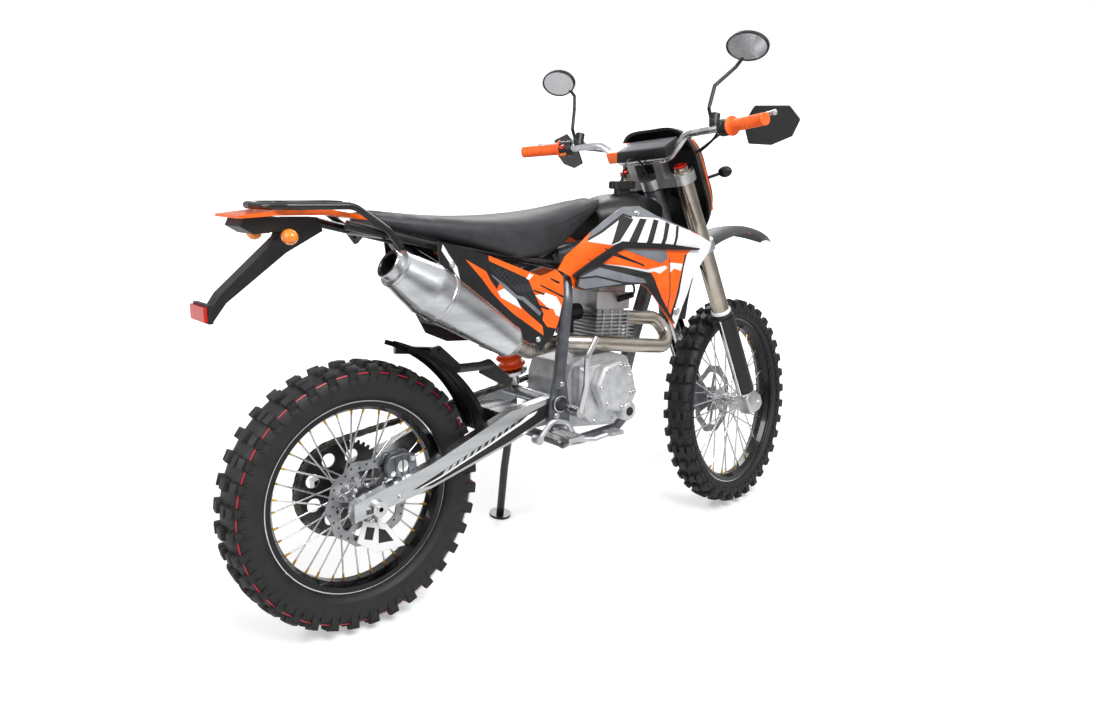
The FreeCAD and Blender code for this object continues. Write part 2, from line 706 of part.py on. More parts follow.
def make_shock():
    """Spring and damper standing between the bridge and the frame."""
    low = Vector(500, 0, 545)
    high = Vector(430, 0, 850)
    axis = (high - low).normalize()
    body = rod(low, high, 14)
    coils = []
    for index in range(9):
        at = low + axis * (50 + index * 22)
        coils.append(Part.makeTorus(33, 6.5, at, axis))
    seat_low = Part.makeCylinder(40, 8, low + axis * 36, axis)
    seat_high = Part.makeCylinder(40, 8, low + axis * 234, axis)
    spring = Part.makeCylinder(35, 190, low + axis * 44, axis)
    return feature("rear_shock", body.multiFuse([seat_low, seat_high, spring]), "chassis")


def make_tank():
    """The fuel tank, a closed shell whose top rises from the seat to the cap."""
    sections = []
    half = size("tank_half_width")
    for along, bottom, top, width in ((745, 925, 1018, 0.62), (820, 880, 1046, 0.92), (890, 868, 1056, 1.0),
                                      (955, 885, 1052, 0.62), (1000, 905, 1042, 0.42), (1034, 950, 1030, 0.3)):
        centre = Vector(along, 0, (bottom + top) / 2)
        sections.append(section(centre, Vector(0, 1, 0), Vector(0, 0, 1), half * width, (top - bottom) / 2, 0.6))
    solid = Part.makeLoft(sections, True, False)
    tunnel = tube([fork_point(-10, 0, 790), Vector(870, 0, 925), Vector(640, 0, 885)], 30, 120)
    solid = solid.cut(tunnel)
    neck = Part.makeCylinder(24, 30, Vector(895, 0, 1040))
    return feature("fuel_tank", solid.fuse(neck), "chassis")


def make_cap():
    base = Part.makeCylinder(size("cap_radius"), 22, Vector(895, 0, 1070))
    ribs = []
    for index in range(12):
        angle = 2 * math.pi * index / 12
        ribs.append(Part.makeCylinder(4, 18, Vector(895 + size("cap_radius") * math.cos(angle),
                                                    size("cap_radius") * math.sin(angle), 1072)))
    return feature("tank_cap", base.multiFuse(ribs), "chassis")


def make_seat():
    """A long narrow seat, low in front of the rider, drawn as one soft solid."""
    half = size("seat_half_width")
    sections = []
    for along, bottom, top, width in ((45, 998, 1028, 0.62), (170, 962, 1014, 0.86), (320, 922, 1004, 1.0),
                                      (480, 880, 1006, 0.95), (600, 915, 1018, 0.72), (700, 975, 1036, 0.55),
                                      (770, 1022, 1052, 0.42)):
        centre = Vector(along, 0, (bottom + top) / 2)
        sections.append(section(centre, Vector(0, 1, 0), Vector(0, 0, 1), half * width, (top - bottom) / 2, 0.55))
    return feature("seat", Part.makeLoft(sections, True, False), "chassis")


def flared(points, inner, thick, hinge_along, angle):
    """A plate drawn in XZ and turned outward about an upright line."""
    solid = plate(points, 0, thick, 0)
    solid.translate(Vector(-hinge_along, 0, 0))
    solid.Placement = Placement(Vector(hinge_along, inner, 0), Rotation(Vector(0, 0, 1), angle)).multiply(
        solid.Placement)
    return solid


def make_shrouds():
    """A radiator-style shroud: a plate that flares outward to the front, with its lower wing."""
    main = [(735, 985), (800, 1036), (850, 1034), (1079, 924), (1040, 850), (947, 658), (905, 800), (861, 862),
            (602, 836), (520, 840), (509, 869), (650, 952)]
    shape = flared(main, 126, size("panel_thick"), 640, 7)
    wing = flared([(602, 868), (690, 925), (860, 905), (1040, 915), (860, 893), (700, 908)], 136, 7, 640, 7)
    shape = shape.fuse(wing)
    return feature("shrouds", both_sides(shape), "chassis")


def make_side_panels():
    main = [(176, 958), (182, 900), (294, 692), (360, 662), (477, 652), (530, 700), (560, 790), (575, 835),
            (500, 846), (400, 880), (300, 915)]
    shape = plate(main, 124, size("panel_thick"), 6)
    return feature("side_panels", both_sides(shape), "chassis")


def make_inner_fender():
    """The flap between the rear wheel and the engine, and the guard under the seat."""
    outer = []
    inner = []
    for step in range(7):
        angle = math.radians(14 + step * 12)
        outer.append((math.cos(angle) * 392, rear_radius + math.sin(angle) * 392))
        inner.append((math.cos(angle) * 387, rear_radius + math.sin(angle) * 387))
    shape = plate(outer + inner[::-1], -58, 116)
    return feature("inner_fender", shape, "chassis")


def make_rear_fender():
    main = [(60, 1004), (-60, 1022), (-190, 1024), (-268, 1020), (-268, 1026), (-190, 1034), (-60, 1034),
            (60, 1012)]
    shape = plate(main, -70, 140)
    return feature("rear_fender", shape, "chassis")


def make_plate_holder():
    arm = plate([(-70, 1016), (-145, 1018), (-165, 975), (-300, 860), (-336, 810), (-322, 800), (-290, 840),
                 (-150, 940), (-60, 985)], -22, 44, 4)
    foot = Part.makeBox(10, 90, 40, Vector(-338, -45, 802))
    return feature("plate_holder", arm.fuse(foot), "chassis")


def make_reflector():
    shape = Part.makeBox(8, 84, 32, Vector(-346.3, -42, 806))
    return feature("rear_reflector", shape, "chassis")


def make_tail_light():
    shape = plate([(-150, 1018), (-250, 1018), (-258, 1002), (-230, 985), (-160, 990)], -45, 90)
    return feature("tail_light", shape, "chassis")


def make_signals(name, frame, base, tip, length):
    stalk = rod(base, tip, 5)
    axis = (tip - base).normalize()
    lamp = Part.makeSphere(17, Vector(0, 0, 0))
    scale = FreeCAD.Matrix()
    scale.scale(1, 1.3, 1)
    lamp = lamp.transformGeometry(scale)
    lamp.translate(tip + axis * length)
    shape = stalk.fuse(lamp)
    return feature(name, both_sides(shape), frame)


def make_footpegs():
    length = size("peg_length")
    inner = size("plate_inner") + size("plate_thick")
    bar = Part.makeBox(54, length, 14, Vector(500, inner + 12, 424))
    window = Part.makeBox(38, length - 22, 40, Vector(508, inner + 26, 410))
    lug = Part.makeBox(44, 14, 30, Vector(530, inner, 412))
    shape = bar.cut(window).fuse(lug)
    return feature("footpegs", both_sides(shape), "chassis")


def make_passenger_pegs():
    inner = 124
    peg = rod(Vector(330, inner - 4, 640), Vector(210, inner + 26, 652), 11)
    arm = plate([(400, 590), (380, 575), (300, 622), (300, 650), (330, 655)], 112, 10, 4)
    shape = arm.fuse(peg)
    link = rod(Vector(390, 104, 585), Vector(390, 118, 585), 8)
    return feature("passenger_pegs", both_sides(shape.fuse(link)), "chassis")


def make_brake_pedal():
    path = tube([Vector(470, -142, 420), Vector(510, -150, 470), Vector(560, -156, 455), Vector(585, -160, 405),
                 Vector(640, -175, 400), Vector(690, -190, 412)], 7, 25)
    tip = Part.makeBox(46, 34, 10, Vector(672, -208, 408))
    boss = Part.makeCylinder(12, 24, Vector(470, -148, 420), Vector(0, 1, 0))
    return feature("brake_pedal", path.multiFuse([tip, boss]), "chassis")


def make_gear_lever():
    path = tube([Vector(640, 132, 440), Vector(700, 140, 425), Vector(760, 150, 430)], 6, 25)
    toe = rod(Vector(760, 150, 430), Vector(760, 182, 430), 10)
    boss = Part.makeCylinder(11, 30, Vector(640, 106, 440), Vector(0, 1, 0))
    return feature("gear_lever", path.multiFuse([toe, boss]), "chassis")


def make_kick_lever():
    boss = Part.makeCylinder(16, 50, Vector(592, -172, 482), Vector(0, 1, 0))
    path = tube([Vector(592, -168, 482), Vector(600, -182, 560), Vector(590, -196, 640), Vector(620, -200, 690)], 8, 30)
    return feature("kick_lever", path.fuse(boss), "chassis")


def make_rear_caliper():
    centre = Vector(0, 0, rear_radius)
    block = Part.makeBox(86, 46, 62, Vector(40, -size("rear_disc_line") - 26, rear_radius + 52))
    gap = Part.makeCylinder(size("rear_disc_radius") + 6, size("disc_thick") + 8,
                            centre + Vector(0, -size("rear_disc_line") - size("disc_thick") / 2 - 4, 0),
                            Vector(0, 1, 0))
    arm = rod(Vector(60, -size("arm_inner_rear") - 4, rear_radius + 20),
              Vector(80, -size("rear_disc_line") - 18, rear_radius + 62), 10)
    return feature("rear_caliper", block.cut(gap).fuse(arm), "chassis")


def make_disc_guard():
    line = -size("rear_disc_line") - 16
    shape = plate([(-20, rear_radius - 40), (40, rear_radius - 60), (90, rear_radius - 130),
                   (10, rear_radius - 128), (-40, rear_radius - 90)], line, 5, 8)
    tab = rod(Vector(20, line, rear_radius - 60), Vector(20, -size("arm_inner_rear") - 2, rear_radius - 14), 7)
    return feature("disc_guard", shape.fuse(tab), "chassis")


# Steered pieces, drawn along an upright steering axis.
def make_clamps():
    """Upper and lower fork clamps round both legs, with the steering stem between them."""
    ahead = size("fork_offset")
    half = size("leg_span") / 2
    thick = size("clamp_thick")
    pieces = []
    for low in (size("lower_clamp_at"), size("upper_clamp_at")):
        bridge = Part.makeBox(50, half * 2, thick, Vector(ahead - 38, -half, low))
        pieces.append(bridge)
        for hand in (1, -1):
            pieces.append(Part.makeCylinder(size("upper_tube_radius") + 9, thick, Vector(ahead, hand * half, low)))
        pieces.append(Part.makeCylinder(30, thick, Vector(0, 0, low)))
    stem = Part.makeCylinder(size("stem_radius"), size("upper_clamp_at") - size("lower_clamp_at") + thick,
                             Vector(0, 0, size("lower_clamp_at")))
    shape = stem.multiFuse(pieces)
    for hand in (1, -1):
        shape = shape.cut(Part.makeCylinder(size("upper_tube_radius"), 400, Vector(ahead, hand * half, 560)))
    riser = Part.makeBox(40, 26, 52, Vector(-12, 32, size("upper_clamp_at") + thick))
    shape = shape.multiFuse([riser, mirrored(riser)])
    bar = rod(Vector(8, -70, 915), Vector(8, 70, 915), size("bar_middle_radius"))
    return feature("triple_clamps", shape.cut(bar), "steering")


def make_fork_tubes():
    pieces = []
    half = size("leg_span") / 2
    low = size("upper_tube_low")
    outer = Part.makeCylinder(size("upper_tube_radius"), size("upper_tube_high") - low,
                              Vector(size("fork_offset"), half, low))
    cap = Part.makeCylinder(size("upper_tube_radius") - 5, 10, Vector(size("fork_offset"), half,
                                                                    size("upper_tube_high")))
    return feature("fork_tubes", both_sides(outer.fuse(cap)), "steering")


def make_fork_legs():
    """Sliders, their guards and the feet that hold the front axle."""
    half = size("leg_span") / 2
    ahead = size("fork_offset")
    lead = size("axle_lead")
    low = size("upper_tube_low")
    slider = Part.makeCylinder(size("slider_radius"), low - 30, Vector(ahead, half, 30))
    foot = plate([(ahead - 24, 60), (ahead - 22, -8), (ahead + lead - 8, -26), (ahead + lead + 20, -20),
                  (ahead + lead + 24, 14), (ahead + 26, 70)], half - 22, 44, 6)
    guard_outer = Part.makeCylinder(size("upper_tube_radius") + 8, low - 75, Vector(ahead + 2, half, 62))
    guard_inner = Part.makeCylinder(size("upper_tube_radius") + 4, low, Vector(ahead + 2, half, 50))
    keep = Part.makeBox(120, 160, 600, Vector(ahead - 6, half - 80, 0))
    guard = guard_outer.cut(guard_inner).common(keep)
    tab = Part.makeBox(24, 12, 24, Vector(ahead + 16, half - 6, 64))
    leg = slider.multiFuse([foot, guard, tab])
    axle = rod(Vector(ahead + lead, -half - 26, 0), Vector(ahead + lead, half + 26, 0), size("axle_radius"))
    return feature("fork_legs", leg.multiFuse([mirrored(leg), axle]), "steering")


def bar_points():
    return [Vector(8, 0, 915), Vector(8, 70, 915), Vector(20, 150, 975), Vector(14, 290, 981), Vector(-26, 420, 1002)]


def make_handlebar():
    middle = rod(Vector(8, -70, 915), Vector(8, 70, 915), size("bar_middle_radius"))
    points = bar_points()
    arm = tube([Vector(8, 60, 915), Vector(8, 84, 915)] + points[2:], size("bar_radius"), 50)
    return feature("handlebar", middle.multiFuse([arm, mirrored(arm)]), "steering")


def make_grips():
    inner = bar_points()[3]
    outer = bar_points()[4]
    axis = (outer - inner).normalize()
    start = inner + axis * (size("grip_inner") - inner.y)
    end = outer + axis * 2
    grip = rod(start, end, size("grip_radius"))
    flange = Part.makeCylinder(27, 5, start, axis)
    return feature("grips", both_sides(grip.fuse(flange)), "steering")


def make_controls():
    """Switch and throttle housings with the two levers and their perches."""
    inner = bar_points()[3]
    outer = bar_points()[4]
    axis = (outer - inner).normalize()
    block = rod(inner - axis * 28, inner + axis * 9, 24)
    perch = rod(Vector(20, 238, 979), Vector(52, 246, 974), 13)
    lever = tube([Vector(52, 246, 974), Vector(74, 268, 972), Vector(66, 330, 978), Vector(52, 410, 990)], 6, 20)
    return feature("bar_controls", both_sides(block.multiFuse([perch, lever])), "steering")


def make_bar_pad():
    shape = Part.makeBox(78, 210, 34, Vector(-34, -105, 930))
    return feature("bar_pad", shape, "steering")


def make_mirrors():
    stem = tube([Vector(18, 239, 984), Vector(22, 239, 1037), Vector(40, 240, 1085), Vector(76, 266, 1112),
                 Vector(128, 312, 1140)], 5, 30)
    glass = Part.makeSphere(1, Vector(0, 0, 0))
    scale = FreeCAD.Matrix()
    scale.scale(12, size("mirror_long"), size("mirror_high"))
    head = glass.transformGeometry(scale)
    head.Placement = Placement(Vector(148, 330, 1154), Rotation(Vector(0, 0, 1), Vector(-0.25, 0.1, 1)))
    return feature("mirrors", both_sides(stem.fuse(head)), "steering")


def make_handguards():
    panel = plate([(-60, 900), (-60, 960), (-20, 1000), (70, 975), (90, 930), (60, 890), (0, 880)], 0, 4, 6)
    panel.Placement = Placement(Vector(110, 350, 0), Rotation(Vector(0, 0, 1), 68)).multiply(panel.Placement)
    arm = tube([Vector(18, 222, 978), Vector(60, 226, 970), Vector(100, 268, 950), Vector(96, 305, 945)], 6, 20)
    return feature("handguards", both_sides(panel.fuse(arm)), "steering")


def make_mask():
    """The headlight mask, a hollow cowl ahead of the clamps."""
    def station(ahead, low, high, half):
        return section(Vector(ahead, 0, (low + high) / 2), Vector(0, 1, 0), Vector(0, 0, 1), half,
                       (high - low) / 2, 0.5)

    outer = Part.makeLoft([station(70, 640, 985, 128), station(130, 660, 950, 112), station(185, 700, 880, 78)],
                          True, False)
    inner = Part.makeLoft([station(60, 648, 980, 122), station(126, 668, 942, 106), station(179, 708, 872, 72)],
                          True, False)
    shape = outer.cut(inner)
    for hand in (1, -1):
        strap = Part.makeBox(50, 10, 20, Vector(40, hand * 100 - 5, 700))
        shape = shape.fuse(strap)
    return feature("headlight_mask", shape, "steering")


def make_headlight():
    lens = Part.makeLoft([section(Vector(183, 0, 790), Vector(0, 1, 0), Vector(0, 0, 1), 60, 52, 0.7),
                          section(Vector(196, 0, 790), Vector(0, 1, 0), Vector(0, 0, 1), 48, 42, 0.7)], True, False)
    return feature("headlight", lens, "steering")


def make_front_fender():
    """A high curved fender under the lower clamp, pointed in front."""
    stations = [(-118, 440, 48, -60), (-60, 525, 60, -48), (20, 578, 66, -15), (120, 590, 72, 0), (260, 560, 76, 14),
                (400, 500, 70, 24), (510, 425, 52, 34), (583, 349, 22, 44)]
    sections = []
    for ahead, up, half, slope in stations:
        tilt = math.radians(slope)
        normal = Vector(math.sin(tilt), 0, math.cos(tilt))
        here = Vector(ahead, 0, up)
        points = [here + Vector(0, -half, 0) - normal * 26, here + Vector(0, -half * 0.55, 0) - normal * 4, here,
                  here + Vector(0, half * 0.55, 0) - normal * 4, here + Vector(0, half, 0) - normal * 26]
        back = [point - normal * 4 for point in points[::-1]]
        sections.append(Part.makePolygon(points + back + [points[0]]))
    return feature("front_fender", Part.makeLoft(sections, True, True), "steering")


def make_front_caliper():
    ahead = size("fork_offset") + size("axle_lead")
    line = size("front_disc_line")
    block = Part.makeBox(52, 44, 86, Vector(ahead - 118, line - 24, 30))
    gap = Part.makeCylinder(size("front_disc_radius") + 6, size("disc_thick") + 8,
                            Vector(ahead, line - size("disc_thick") / 2 - 4, 0), Vector(0, 1, 0))
    arm = rod(Vector(ahead - 76, line + 14, 60), Vector(ahead - 46, line + 24, 60), 9)
    return feature("front_caliper", block.cut(gap).fuse(arm), "steering")


# Lean and settle: the two tyres and the stand's foot meet the ground together.
def lean_placement(pitch, lift):
    lean = Rotation(Vector(1, 0, 0), -size("lean"))
    nose = Rotation(Vector(0, 1, 0), pitch)
    return Placement(Vector(0, 0, lift), lean.multiply(nose))


def frame_placements(base):
    steering = base.multiply(fork_tilt).multiply(Placement(Vector(), Rotation(Vector(0, 0, 1), size("steer_rest"))))
    return {
        "chassis": base,
        "side_stand": base,
        "rear_wheel": base.multiply(Placement(Vector(0, 0, rear_radius), Rotation())),
        "steering": steering,
        "front_wheel": steering.multiply(Placement(Vector(axle_ahead, 0, 0), Rotation())),
    }


def lowest(shape, place):
    return min(place.multVec(vertex.Point).z for vertex in shape.Vertexes)


def settle():
    front = SUBPARTS["front_tyre"][0].Shape
    rear = SUBPARTS["rear_tyre"][0].Shape
    pitch = 0.0
    lift = 0.0
    for _ in range(6):
        places = frame_placements(lean_placement(pitch, lift))
        front_low = lowest(front, places["front_wheel"])
        rear_low = lowest(rear, places["rear_wheel"])
        pitch += math.degrees((front_low - rear_low) / size("wheelbase"))
        lift -= rear_low
    return lean_placement(pitch, lift)


def make_stand(base):
    """The side stand at rest, its leg long enough for the foot to lie on the ground."""
    pivot = stand_pivot
    hinge = stand_hinge
    down = Vector(0.12, 0.33, -0.94).normalize()
    ground_up = base.Rotation.inverted().multVec(Vector(0, 0, 1))
    ground = base.inverse().multVec(Vector(0, 0, 0))
    reach = (ground - pivot).dot(ground_up) / down.dot(ground_up)
    foot = pivot + down * reach
    toe = foot + ground_up * 5
    leg = tube([pivot - (foot - pivot).normalize() * 2, pivot + (foot - pivot) * 0.5 + Vector(0, 6, 0), toe],
               size("stand_radius"), 300)
    pad = Part.makeCylinder(34, 8, foot, ground_up)
    boss = rod(pivot - hinge * 12, pivot + hinge * 16, 19)
    return feature("side_stand", leg.multiFuse([pad, boss]), "side_stand")


# Build every sub-part.
make_tyre("rear_tyre", "rear_wheel", rear_radius, "rear_tyre_width", "rear_rim_radius")
make_tyre("front_tyre", "front_wheel", front_radius, "front_tyre_width", "front_rim_radius")
make_rim("rear_rim", "rear_wheel", "rear_rim_radius", "rear_rim_width")
make_rim("front_rim", "front_wheel", "front_rim_radius", "front_rim_width")
make_hub("rear_hub", "rear_wheel", 80, 80, "rear_rim_radius", "rear_rim_width")
make_hub("front_hub", "front_wheel", 70, 70, "front_rim_radius", "front_rim_width")
make_disc("rear_brake_disc", "rear_wheel", "rear_disc_radius", "rear_disc_line", -1)
make_disc("front_brake_disc", "front_wheel", "front_disc_radius", "front_disc_line", 1)
make_sprocket()
make_chain()
make_engine()
make_clutch_cover()
make_cylinder()
make_carburettor()
make_header()
make_muffler()
make_frame()
make_subframe()
make_rack()
make_swingarm()
make_rear_axle()
make_shock()
make_tank()
make_cap()
make_seat()
make_shrouds()
make_side_panels()
make_inner_fender()
make_rear_fender()
make_plate_holder()
make_reflector()
make_tail_light()
make_signals("rear_signals", "chassis", Vector(-160, 45, 985), Vector(-168, 78, 982), 20)
make_footpegs()
make_passenger_pegs()
make_brake_pedal()
make_gear_lever()
make_kick_lever()
make_rear_caliper()
make_disc_guard()
make_clamps()
make_fork_tubes()
make_fork_legs()
make_handlebar()
make_grips()
make_controls()
make_bar_pad()
make_mirrors()
make_handguards()
make_mask()
make_headlight()
make_front_fender()
make_front_caliper()
make_signals("front_signals", "steering", Vector(120, 100, 792), Vector(150, 140, 793), 20)


def seat_in(name, neighbours, clearance=0.0):
    """Cut a piece where its neighbours pass through it or bear on it, so that they meet face to face."""
    item = SUBPARTS[name][0]
    shape = item.Shape
    for other in neighbours:
        tool = SUBPARTS[other][0].Shape
        if clearance:
            tool = tool.makeOffsetShape(clearance, 0.01)
        shape = shape.cut(tool)
    solids = sorted(shape.Solids, key=lambda solid: solid.Volume)
    kept = [solid for solid in solids if solid.Volume > 0.02 * solids[-1].Volume]
    item.Shape = Part.makeCompound(kept) if len(kept) > 1 else kept[0]


doc.recompute()
SEATS = [
    ("rear_hub", ["rear_rim"]), ("front_hub", ["front_rim"]),
    ("rear_subframe", ["main_frame"]), ("engine_crankcase", ["main_frame"]), ("clutch_cover", ["engine_crankcase"]),
    ("exhaust_header", ["cylinder_head", "main_frame", "clutch_cover", "engine_crankcase"]),
    ("muffler", ["exhaust_header"]), ("fuel_tank", ["main_frame"]),
    ("seat", ["fuel_tank", "rear_subframe", "main_frame"]), ("rear_fender", ["seat", "rear_subframe"]),
    ("luggage_rack", ["rear_subframe", "seat", "rear_fender"]), ("side_panels", ["exhaust_header", "seat"]),
    ("air_intake", ["main_frame", "rear_shock", "rear_subframe", "cylinder_head"]),
    ("swingarm", ["main_frame", "rear_shock"]), ("rear_caliper", ["swingarm"]), ("disc_guard", ["swingarm"]),
    ("plate_holder", ["rear_fender", "rear_subframe"]), ("tail_light", ["plate_holder", "rear_fender"]),
    ("rear_signals", ["tail_light", "plate_holder", "rear_fender"]), ("front_caliper", ["fork_legs"]),
    ("headlight_mask", ["headlight", "fork_tubes", "triple_clamps"]), ("front_signals", ["headlight_mask"]),
    ("grips", ["handlebar"]), ("bar_controls", ["handlebar", "grips"]), ("mirrors", ["handlebar", "bar_controls"]),
    ("handguards", ["handlebar", "bar_controls"]), ("bar_pad", ["handlebar", "triple_clamps"]),
]
for name, neighbours in SEATS:
    seat_in(name, neighbours)
standing = settle()
make_stand(standing)
doc.recompute()

# Stand the bike with its box's bottom centre at the origin.
placements = frame_placements(standing)
drawn_at = {name: item.Placement for name, (item, frame) in SUBPARTS.items()}
for name, (item, frame) in SUBPARTS.items():
    item.Placement = placements[frame].multiply(drawn_at[name])
doc.recompute()
whole = FreeCAD.BoundBox()
for name, (item, frame) in SUBPARTS.items():
    whole.add(item.Shape.optimalBoundingBox(False, False))
centring = Placement(Vector(-whole.Center.x, -whole.Center.y, -whole.ZMin), Rotation())
placements = {frame: centring.multiply(place) for frame, place in placements.items()}
for name, (item, frame) in SUBPARTS.items():
    item.Placement = placements[frame].multiply(drawn_at[name])
doc.recompute()

failed = [item.Name for item in doc.Objects if "Invalid" in item.State or "Error" in item.State]
if failed:
    raise RuntimeError("features failed: " + ", ".join(failed))
broken = [name for name, (item, frame) in SUBPARTS.items()
          if item.Shape.isNull() or not item.Shape.isValid() or not item.Shape.Solids]
if broken:
    raise RuntimeError("sub-parts with no valid solid: " + ", ".join(broken))

os.makedirs("parts", exist_ok=True)
for name, (item, frame) in SUBPARTS.items():
    item.Shape.exportStep("parts/%s.step" % name)
print("%d sub-parts, box %.0f x %.0f x %.0f mm" % (len(SUBPARTS), whole.XLength, whole.YLength, whole.ZLength))
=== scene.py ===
import json
import math

import bmesh
import bpy
from mathutils import Matrix, Vector
from mathutils.bvhtree import BVHTree


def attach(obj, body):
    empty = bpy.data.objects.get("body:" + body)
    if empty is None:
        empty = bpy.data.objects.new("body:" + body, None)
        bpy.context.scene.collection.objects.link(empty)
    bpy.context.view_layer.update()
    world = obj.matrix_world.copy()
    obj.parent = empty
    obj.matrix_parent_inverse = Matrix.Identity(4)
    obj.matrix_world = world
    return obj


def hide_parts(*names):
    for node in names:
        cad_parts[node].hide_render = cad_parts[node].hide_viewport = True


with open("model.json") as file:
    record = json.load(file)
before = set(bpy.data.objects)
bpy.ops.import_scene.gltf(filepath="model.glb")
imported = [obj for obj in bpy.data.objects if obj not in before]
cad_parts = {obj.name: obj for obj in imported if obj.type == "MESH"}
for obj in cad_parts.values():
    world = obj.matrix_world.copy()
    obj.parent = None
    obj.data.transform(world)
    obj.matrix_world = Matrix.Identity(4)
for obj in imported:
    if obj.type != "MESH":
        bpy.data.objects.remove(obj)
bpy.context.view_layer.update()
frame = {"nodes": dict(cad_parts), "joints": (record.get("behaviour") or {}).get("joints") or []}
nodes = frame["nodes"]

# The bike is drawn upright in millimetres, as in the workshop, then leaned onto its stand by these frames.
bike = {"rakeDeg": 25.2, "rearTyreRadius": 337.0}
mm = 0.001
flanks = ((-1, "right"), (1, "left"))


def frameMatrix(axes, origin):
    return Matrix.Translation(origin) @ Matrix(axes).transposed().to_4x4() @ Matrix.Scale(mm, 4)


def findFrames():
    rake = math.radians(bike["rakeDeg"])
    joints = {joint["name"]: joint for joint in frame["joints"]}
    rear, front, steer = (joints[name] for name in ("rear_wheel_spin", "front_wheel_spin", "steer"))
    side, forkSide, stem = (Vector(joint["axis"]).normalized() for joint in (rear, front, steer))
    ahead = side.cross(stem)
    along = ahead * math.cos(rake) - stem * math.sin(rake)
    up = ahead * math.sin(rake) + stem * math.cos(rake)
    hub = Vector(rear["pos_m"])
    forkAxes = (forkSide.cross(stem), forkSide, stem)
    return {
        "chassis": frameMatrix((along, side, up), hub - up * bike["rearTyreRadius"] * mm),
        "rear_wheel": frameMatrix((along, side, up), hub),
        "steering": frameMatrix(forkAxes, Vector(steer["pos_m"])),
        "front_wheel": frameMatrix(forkAxes, Vector(front["pos_m"])),
    }


places = findFrames()

# Materials: each is a real finish, with its grain sized in millimetres.
look = {"patchGrains": 30, "grainDetail": 4.0, "grainRough": 0.6, "bumpStrength": 0.5}


def linear(hexColour):
    value = hexColour.lstrip("#")
    channels = [int(value[i:i + 2], 16) / 255 for i in (0, 2, 4)]
    channels = [c / 12.92 if c <= 0.04045 else ((c + 0.055) / 1.055) ** 2.4 for c in channels]
    return (*channels, 1.0)


def addNode(tree, kind, settings=None, links=None):
    node = tree.nodes.new(kind)
    for key, value in (settings or {}).items():
        if key in node.inputs:
            node.inputs[key].default_value = value
        else:
            setattr(node, key, value)
    for key, source in (links or {}).items():
        tree.links.new(source, node.inputs[key])
    return node


def perMm(size):
    return 1000.0 / size  # noise scale whose features are about this many millimetres


def newMaterial(name, hexColour, metallic=0.0, roughness=0.5, coat=0.0):
    material = bpy.data.materials.new(name)
    material.use_nodes = True
    shader = material.node_tree.nodes["Principled BSDF"]
    for key, value in (("Base Color", linear(hexColour)), ("Metallic", metallic), ("Roughness", roughness),
                       ("Coat Weight", coat)):
        shader.inputs[key].default_value = value
    return material, material.node_tree, shader


def objectPoint(tree, stretch=(1, 1, 1), turn=(0, 0, 0)):
    coordinates = addNode(tree, "ShaderNodeTexCoord")
    return addNode(tree, "ShaderNodeMapping", {"Scale": stretch, "Rotation": turn},
                   {"Vector": coordinates.outputs["Object"]}).outputs["Vector"]


def addBump(tree, shader, height, strength, distanceMm):
    settings = {"Strength": strength, "Distance": distanceMm * mm}
    bump = addNode(tree, "ShaderNodeBump", settings, {"Height": height})
    tree.links.new(bump.outputs["Normal"], shader.inputs["Normal"])


def spread(tree, factor, lowHex, highHex, start=0.35, end=0.65):
    ramp = addNode(tree, "ShaderNodeValToRGB", None, {"Fac": factor})
    for element, position, colour in zip(ramp.color_ramp.elements, (start, end), (lowHex, highHex)):
        element.position = position
        element.color = linear(colour)
    return ramp.outputs["Color"]


def grained(name, lowHex, highHex, metallic, roughness, grainMm, bumpMm, coat=0.0, stretch=(1, 1, 1)):
    material, tree, shader = newMaterial(name, lowHex, metallic, roughness[0], coat)
    point = {"Vector": objectPoint(tree, stretch)}
    fine = {"Scale": perMm(grainMm), "Detail": look["grainDetail"], "Roughness": look["grainRough"]}
    grain = addNode(tree, "ShaderNodeTexNoise", fine, point)
    broad = {"Scale": perMm(grainMm * look["patchGrains"]), "Detail": 2.0}
    patches = addNode(tree, "ShaderNodeTexNoise", broad, point).outputs["Fac"]
    rough = addNode(tree, "ShaderNodeMapRange", {"To Min": roughness[0], "To Max": roughness[1]},
                    {"Value": patches})
    tree.links.new(spread(tree, patches, lowHex, highHex), shader.inputs["Base Color"])
    tree.links.new(rough.outputs["Result"], shader.inputs["Roughness"])
    addBump(tree, shader, grain.outputs["Fac"], look["bumpStrength"], bumpMm)
    return material


def meshed(name, holeHex, wireHex, cellMm, bumpMm):
    material, tree, shader = newMaterial(name, holeHex, 0.0, 0.42)
    # the cells are turned 45 degrees, so they stand on their corners
    point = {"Vector": objectPoint(tree, turn=(0, 0.78, 0))}
    cells = addNode(tree, "ShaderNodeTexVoronoi", {"feature": "DISTANCE_TO_EDGE", "Scale": perMm(cellMm),
                                                   "Randomness": 0.0}, point).outputs["Distance"]
    tree.links.new(spread(tree, cells, wireHex, holeHex, 0.1, 0.16), shader.inputs["Base Color"])
    addBump(tree, shader, cells, -1.0, bumpMm)
    return material


